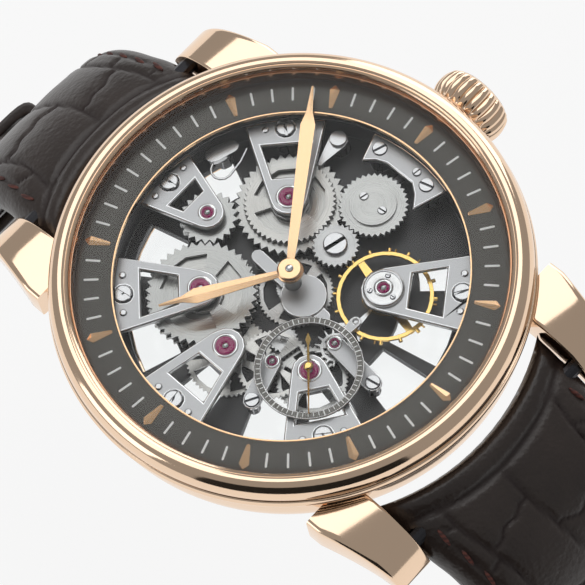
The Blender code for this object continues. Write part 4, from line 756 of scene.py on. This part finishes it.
# %% The fluted crown
side = np.linspace(0.0, 1.0, 30)
barrel = 3.52 - 0.5 * np.abs(2 * side - 1.0) ** 2.4 - 0.25 * np.exp(-((1 - side) / 0.05) ** 2)
depth = 0.24 * np.clip(np.minimum(side, 1.0 - side) / 0.14, 0.0, 1.0) ** 0.7
angle = np.linspace(0.0, 2 * np.pi, 24 * 10, endpoint=False)[:, None]
flute = np.abs(np.sin(12.0 * angle))
wall = barrel[None, :] - depth[None, :] * (1.0 - flute ** 0.8)
along = 20.97 + 3.05 * side[None, :] + 0 * wall
face_r = np.array([2.62, 2.2, 1.4, 0.0])[None, :] + 0 * angle
face_x = np.array([24.03, 24.045, 24.05, 24.05])[None, :] + 0 * angle
back_r = np.array([0.0, 1.8, 2.6])[None, :] + 0 * angle
back_x = np.array([20.97, 20.97, 20.97])[None, :] + 0 * angle
reach = np.concatenate([back_r, wall, face_r], axis=1)
along = np.concatenate([back_x, along, face_x], axis=1)
crown_points = np.stack([along, reach * np.cos(angle), 2.9 + reach * np.sin(angle)], axis=-1)
crown = piece("crown_fluted", crown_points.reshape(-1, 3), grid_faces(240, reach.shape[1], True, False), "crown",
              rose_gold, 50.0)
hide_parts("crown")

# %% [markdown]
# ## Strap
# A padded alligator strap is crowned in the middle and thin at its rolled edges. Its scales are large
# and rectangular along the middle and small at the sides, divided by narrow creases.
# One closed sheet carries it all: the place along the strap and across it give the height, to which
# scales, creases, the stitched channel, the piping at the case and the holes are added.

# %% The strap's line and section
UPPER_LENGTH, LOWER_LENGTH = 77.0, 112.0
WIDTH_AT_LUGS, WIDTH_AT_BUCKLE = 19.8, 16.0
THICK_AT_LUGS, THICK_BEYOND = 3.6, 2.6
TAPER_END = 45.0
STITCH_INSET = 1.7


def ease(value):
    """A smooth step from 0 to 1."""
    t = np.clip(value, 0.0, 1.0)
    return t * t * (3.0 - 2.0 * t)


def strap_line(s, curl):
    """Place and slope (y, z, radians) of the strap's middle line: the slope summed along its length."""
    fine = np.linspace(-8.0, 116.0, 4961)
    start = np.where(fine < 0.0, 14.0, 22.0)
    slope = np.radians(start + (67.0 - start) * ease(fine / 17.0) + curl * ease((fine - 40.0) / 70.0))
    middle, step = (slope[1:] + slope[:-1]) / 2, fine[1] - fine[0]
    y = np.concatenate([[0.0], np.cumsum(np.cos(middle))]) * step
    z = -np.concatenate([[0.0], np.cumsum(np.sin(middle))]) * step
    y, z = y - np.interp(0.0, fine, y) + 22.4, z - np.interp(0.0, fine, z) + 1.65
    return np.interp(s, fine, y), np.interp(s, fine, z), np.interp(s, fine, slope)


def half_width(s, length, tip):
    """Half the width: an even taper, and an elliptic end where there is a tip."""
    taper = np.clip(s / TAPER_END, 0.0, 1.0)
    half = (WIDTH_AT_LUGS + (WIDTH_AT_BUCKLE - WIDTH_AT_LUGS) * taper) / 2 + 0.2 * ease((5.0 - s) / 3.0)
    inside = np.clip((s - length + tip) / tip, 0.0, 1.0) if tip else np.zeros_like(s)
    return half * np.sqrt(np.maximum(0.03, 1.0 - inside ** 2))


def thickness(s):
    """Leather from face to face: thick at the lugs, thinner past the taper."""
    return THICK_AT_LUGS + (THICK_BEYOND - THICK_AT_LUGS) * ease(s / TAPER_END)


def creases(x, s, half):
    """Distance to the nearest crease: wavy rows across, set off from column to column, and wavy columns."""
    left = -0.5 + 0.5 * np.sin(s * 0.42) - 6.1 * half / 9.9
    right = 0.5 + 0.45 * np.sin(s * 0.37 + 1.0) + 5.9 * half / 9.9
    centre = 0.4 + 0.6 * np.sin(s * 0.3 + 0.5)
    column = (x > left).astype(float) + (x > centre) + (x > right)
    pitch = np.where((column == 0) | (column == 3), 4.6, 8.6)
    shift = np.choose(column.astype(int), [0.2, 0.1, 0.46, 0.7])
    phase = (s + 0.35 * np.sin(x * 0.8) + 0.2 * np.sin(x * 2.3 + s)) / pitch + shift
    rows = np.abs(phase - np.round(phase)) * pitch
    columns = np.minimum(np.abs(x - left), np.minimum(np.abs(x - centre), np.abs(x - right)))
    return np.minimum(rows, columns)

# %% [markdown]
# ## The strap's surface
# Scales could be bump only, but their edges show against the light, so the height of the leather is real shape.

# %% The strap's sheet
def strap_height(x, s, half, top, holes, slot):
    """Height of the leather above or below its middle line, and how deep it lies in a crease, the stitched channel, the
    seam or a hole, which the leather paints as shade.
    """
    share = np.clip(np.abs(x) / half, 0.0, 1.0)
    t = thickness(s)
    crowned = t * (0.2 + 0.28 * (1.0 - share ** 3.0))
    closing = np.sqrt(np.clip(1.0 - share ** 14.0, 0.0, 1.0))
    gap = creases(x, s, half)
    edge = half - np.abs(x)
    line = np.exp(-((edge - STITCH_INSET) / 0.22) ** 2) * ease((s - 2.0) / 2.0)
    inside = ease((edge - 1.9) / 0.5)
    case_gap = s - end_of(x)
    piping = 0.42 * np.sin(np.pi * np.clip(case_gap / 2.3, 0.0, 1.0)) ** 0.7
    seam = np.exp(-((case_gap - 2.5) / 0.28) ** 2)
    field = inside * ease((case_gap - 2.6) / 0.6)
    dent = np.exp(-(gap / 0.2) ** 2) * field
    pillow = (1.0 - np.exp(-(gap / 1.1) ** 2)) * field
    upper = (crowned + 0.11 * pillow - 0.2 * dent - 0.16 * line + piping - 0.2 * seam - 0.1) * closing
    upper = np.minimum(upper, t / 2 + 0.25) - 0.34 * t * (1.0 - closing)
    lower = -t / 2 * closing
    lower = np.where(closing < 1.0, np.minimum(lower, -0.34 * t * (1.0 - closing)), lower)
    height = np.where(top, upper, lower)
    # The holes are not cut: the leather is pressed thin there, and through this depth the hole is painted dark as
    # shade.
    pit = np.zeros_like(x)
    for place in holes:
        pit = np.maximum(pit, ease((1.0 - np.hypot(x, s - place)) / 0.22))
    cleft = ease((1.25 - np.abs(x)) / 0.2) * ease((s - slot) / 0.3) if slot else 0.0 * x
    flat = np.maximum(pit * 0.9, cleft * 0.97)
    # This depth paints shade into the leather's colour: in the creases, the stitched channel and the seam at the case.
    depth = np.where(top, np.maximum(np.maximum(dent, line * 0.7), seam * 0.8), 0.0)
    return height * (1.0 - flat), np.maximum(depth, pit)


def end_of(x):
    """Where the strap starts beside the round case: the circle's y at x, turned into a place along it."""
    return (np.sqrt(21.05 ** 2 - np.minimum(np.abs(x), 10.1) ** 2) - 22.4) / 0.97


def strap_sheet(length, curl, tip, holes, slot, rows):
    """Points and crease depths of one strap half at +Y: the middle line, plus the height along its normal."""
    upper = np.sin(np.linspace(-1.0, 1.0, 91) * np.pi / 2)
    lower = np.sin(np.linspace(1.0, -1.0, 25)[1:-1] * np.pi / 2)
    across = np.concatenate([upper, lower])[None, :]
    top = (np.arange(across.shape[1]) < 91)[None, :]
    base = np.linspace(0.0, 1.0, rows)[:, None] * length
    near = half_width(base, length, tip)
    x = across * near
    s = base + end_of(x) * np.clip(1.0 - base / 10.0, 0.0, 1.0)
    half = half_width(s, length, tip)
    x = across * half
    height, depth = strap_height(x, s, half, top, holes, slot)
    closed = np.ones((rows, 1))
    closed[0], closed[-1] = 0.0, 0.0
    round_off = np.sqrt(np.clip(1.0 - (1.0 - np.minimum(base, length - base) / 0.7) ** 2, 0.0, 1.0))
    height = height * np.where(np.minimum(base, length - base) < 0.7, np.maximum(round_off, closed * 0.2), 1.0)
    y, z, slope = strap_line(s, curl)
    points = np.stack([x + 0 * y, y + np.sin(slope) * height, z + np.cos(slope) * height], axis=-1)
    faces = [list(f) for f in grid_faces(rows, across.shape[1], False, True)]
    return points, depth, faces


# %% [markdown]
# ## Two halves from one rule
# Both halves are the same leather with other lengths and ends, so one function makes both, and the lower half
# is turned half round about the case.

# %% Both strap halves
HALF_TURN = np.array([-1.0, -1.0, 1.0])
strap_holes = [LOWER_LENGTH - 22.0 - 6.5 * n for n in range(7)]
for name, node, body, length, curl, tip, holes, slot, turn in (
        ("strap_upper", "strap_12", "strap_12", UPPER_LENGTH, 0.0, 0.0, [], 73.2, np.ones(3)),
        ("strap_lower", "strap_6", "strap_6", LOWER_LENGTH, 20.0, 9.0, strap_holes, None, HALF_TURN)):
    points, depth, faces = strap_sheet(length, curl, tip, holes, slot, int(length * 4.5))
    made = piece(name, points * turn, faces, body, strap_leather, 60.0, {"crease": depth})
    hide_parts(node)
    print(name, "faces:", len(made.data.polygons))

# %% [markdown]
# ## Stitching and keepers
# A saddle stitch shows as short slanted threads that dip into the leather at both ends.
# Each is an ellipsoid of a few dozen faces, laid along the strap in the stitched channel.

# %% Threads
def stitches(name, body, length, curl, tip, turn):
    """Small ellipsoids: the place along, across and up times the radii, set in the strap's own frame."""
    s = np.arange(1.6, length - (7.0 if tip else 4.0), 2.5)
    s = np.concatenate([s, s])
    side = np.repeat([-1.0, 1.0], len(s) // 2)
    half = half_width(s, length, tip)
    x = side * (half - STITCH_INSET)
    height = strap_height(x, s, half, np.ones(len(s), bool), [], None)[0]
    y, z, slope = strap_line(s, curl)
    around = np.linspace(0.0, 2 * np.pi, 6, endpoint=False)[None, None, :]
    ahead = np.linspace(0.0, np.pi, 7)[None, :, None]
    a = 0.85 * np.cos(ahead) + 0 * around
    b = 0.2 * np.sin(ahead) * np.cos(around)
    c = 0.17 * np.sin(ahead) * np.sin(around)
    lean = side[:, None, None] * 0.12
    px = x[:, None, None] + b + a * lean
    up = height[:, None, None] + 0.08 + c
    sy, cy = np.sin(slope)[:, None, None], np.cos(slope)[:, None, None]
    py = y[:, None, None] + cy * a + sy * up
    pz = z[:, None, None] - sy * a + cy * up
    points = np.stack([px, py, pz], axis=-1) * turn
    one = grid_faces(7, 6, False, True)
    faces = (one[None] + (np.arange(len(s)) * 42)[:, None, None]).reshape(-1, 4)
    piece(name, points.reshape(-1, 3), faces, body, strap_thread, 60.0)
    print(name, "threads:", len(s))


stitches("stitches_upper", "strap_12", UPPER_LENGTH, 0.0, 0.0, np.ones(3))
stitches("stitches_lower", "strap_6", LOWER_LENGTH, 20.0, 9.0, HALF_TURN)

# %% [markdown]
# ## Keepers
# Two leather loops hold the tail down. Each is a rounded section carried round a squared oval, which keeps an
# even wall all the way round.

# %% Keepers
def keeper(name, node, body, s_start):
    """A leather loop: a flat rounded section carried round a squared oval that clears both strap halves."""
    low, high, width = -1.6, 4.2, 8.3
    a = np.linspace(0.0, 2 * np.pi, 96, endpoint=False)[:, None]
    section = rounded([(0.0, 0.0), (1.1, 0.0), (1.1, 5.0), (0.0, 5.0)], 0.35, 4)
    out, ahead = section[None, :, 0], section[None, :, 1]
    square = 1.0 / (np.abs(np.cos(a)) ** 9 + np.abs(np.sin(a)) ** 9) ** (1 / 9)
    x = np.cos(a) * square * (width + out)
    up = (low + high) / 2 + np.sin(a) * square * ((high - low) / 2 + out)
    y, z, slope = strap_line(np.array([s_start]), 0.0)
    points = np.stack([x, y + np.cos(slope) * ahead + np.sin(slope) * up,
                       z - np.sin(slope) * ahead + np.cos(slope) * up], axis=-1)
    made = piece(name, points.reshape(-1, 3), grid_faces(96, len(section)), body, strap_leather, 60.0)
    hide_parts(node)


keeper("keeper_fixed_loop", "keeper_fixed", body_of_node["keeper_fixed"], 64.0)
keeper("keeper_sliding_loop", "keeper_sliding", "keeper_sliding", 51.0)
# The spring bars get the near-black steel: painted shade of the gap between the lugs and the strap ends. The winding
# stem keeps screw steel.
for name in ("spring_bar_12", "spring_bar_6", "winding_stem"):
    for bar_slot in nodes[name].material_slots:
        bar_slot.material = screw_steel if name == "winding_stem" else painted_shade_steel

# %% [markdown]
# ## Floor, light and camera
# A pale floor and large soft lamps, as in a product studio. Polished gold needs something dark to
# reflect as well as something bright, so a black card stands out of view on one side.

# %% Floor and cards
def sheet_card(name, corners, paint):
    """A flat card from its four corners in metres; it is part of the studio, not of the watch."""
    mesh = bpy.data.meshes.new(name)
    mesh.from_pydata(corners, [], [[0, 1, 2, 3]])
    mesh.materials.append(paint)
    card = bpy.data.objects.new(name, mesh)
    bpy.context.scene.collection.objects.link(card)
    return card


def floor_paint():
    paint = Paint("floor_pale")
    rays = [paint.node("ShaderNodeLightPath", output=name) for name in
            ("Is Camera Ray", "Is Glossy Ray", "Is Transmission Ray")]
    seen = rays[0].at_least(rays[1]).at_least(rays[2]) * 0.85
    matt = paint.node("ShaderNodeBsdfDiffuse", {}, {"Color": rgb(0.9, 0.9, 0.9)})
    light = paint.node("ShaderNodeEmission", {}, {"Color": rgb(1.0, 1.0, 1.0), "Strength": 1.0})
    paint.node("ShaderNodeOutputMaterial", {}, {
        "Surface": paint.node("ShaderNodeMixShader", {}, {0: seen, 1: matt, 2: light})})
    return paint.material


def black_paint():
    paint = Paint("card_black")
    return paint.surface(Base_Color=rgb(0.01, 0.01, 0.01), Roughness=0.9)


floor_z = -0.1012
sheet_card("card_dark", [(-1.0, -0.1, -0.1), (-0.2, -1.0, -0.1), (-0.2, -1.0, 0.75), (-1.0, -0.1, 0.75)], black_paint())
sheet_card("floor", [(-3, -3, floor_z), (3, -3, floor_z), (3, 3, floor_z), (-3, 3, floor_z)], floor_paint())

# %% [markdown]
# ## Lamps
# Large soft lamps give long even highlights along the rings; small ones would only make points.

# %% Lamps and world
def lamp(name, place, size, power, colour=(1.0, 1.0, 1.0)):
    """A square soft lamp that faces the middle of the dial."""
    data = bpy.data.lights.new(name, "AREA")
    data.size, data.energy, data.color = size, power, colour
    made = bpy.data.objects.new(name, data)
    bpy.context.scene.collection.objects.link(made)
    back = np.array(place) / np.linalg.norm(place)
    side = np.cross([0.0, 0.0, 1.0], back)
    side = side / np.linalg.norm(side) if np.linalg.norm(side) > 1e-6 else np.array([1.0, 0.0, 0.0])
    up = np.cross(back, side)
    made.matrix_world = Matrix([[side[i], up[i], back[i], place[i]] for i in range(3)] + [[0, 0, 0, 1]])


lamp("lamp_key", (0.33, 0.45, 0.95), 0.95, 3.6)
lamp("lamp_right", (0.95, 0.35, 0.35), 0.7, 2.6)
lamp("lamp_left", (-0.9, 0.45, 0.4), 0.6, 1.8)

world = bpy.data.worlds.new("studio")
world.use_nodes = True
bpy.context.scene.world = world
tree = world.node_tree
tree.nodes.clear()
path = tree.nodes.new("ShaderNodeLightPath")
soft = tree.nodes.new("ShaderNodeBackground")
soft.inputs["Color"].default_value = rgb(1.0, 1.0, 1.0)
soft.inputs["Strength"].default_value = 0.34
bright = tree.nodes.new("ShaderNodeBackground")
bright.inputs["Color"].default_value = rgb(1.0, 1.0, 1.0)
choice = tree.nodes.new("ShaderNodeMixShader")
result = tree.nodes.new("ShaderNodeOutputWorld")
tree.links.new(path.outputs["Is Camera Ray"], choice.inputs[0])
tree.links.new(soft.outputs[0], choice.inputs[1])
tree.links.new(bright.outputs[0], choice.inputs[2])
tree.links.new(choice.outputs[0], result.inputs[0])

# %% [markdown]
# ## Camera
# A long lens keeps the rings close to true ellipses, as in studio work.

# %% Camera
RIGHT = np.array([0.6737, -0.7313, -0.1060])
UP = np.array([0.6994, 0.5848, 0.4109])
BACK = np.array([-0.2385, -0.3510, 0.9055])
EYE = np.array([-67.872, -99.441, 259.221]) * MM
camera = bpy.data.objects.new("camera", bpy.data.cameras.new("camera"))
bpy.context.scene.collection.objects.link(camera)
camera.data.lens, camera.data.sensor_width, camera.data.clip_start = 205.24, 36.0, 0.01
camera.matrix_world = Matrix([[RIGHT[i], UP[i], BACK[i], EYE[i]] for i in range(3)] + [[0, 0, 0, 1]])
bpy.context.scene.camera = camera
bpy.context.scene.view_settings.view_transform = "Standard"
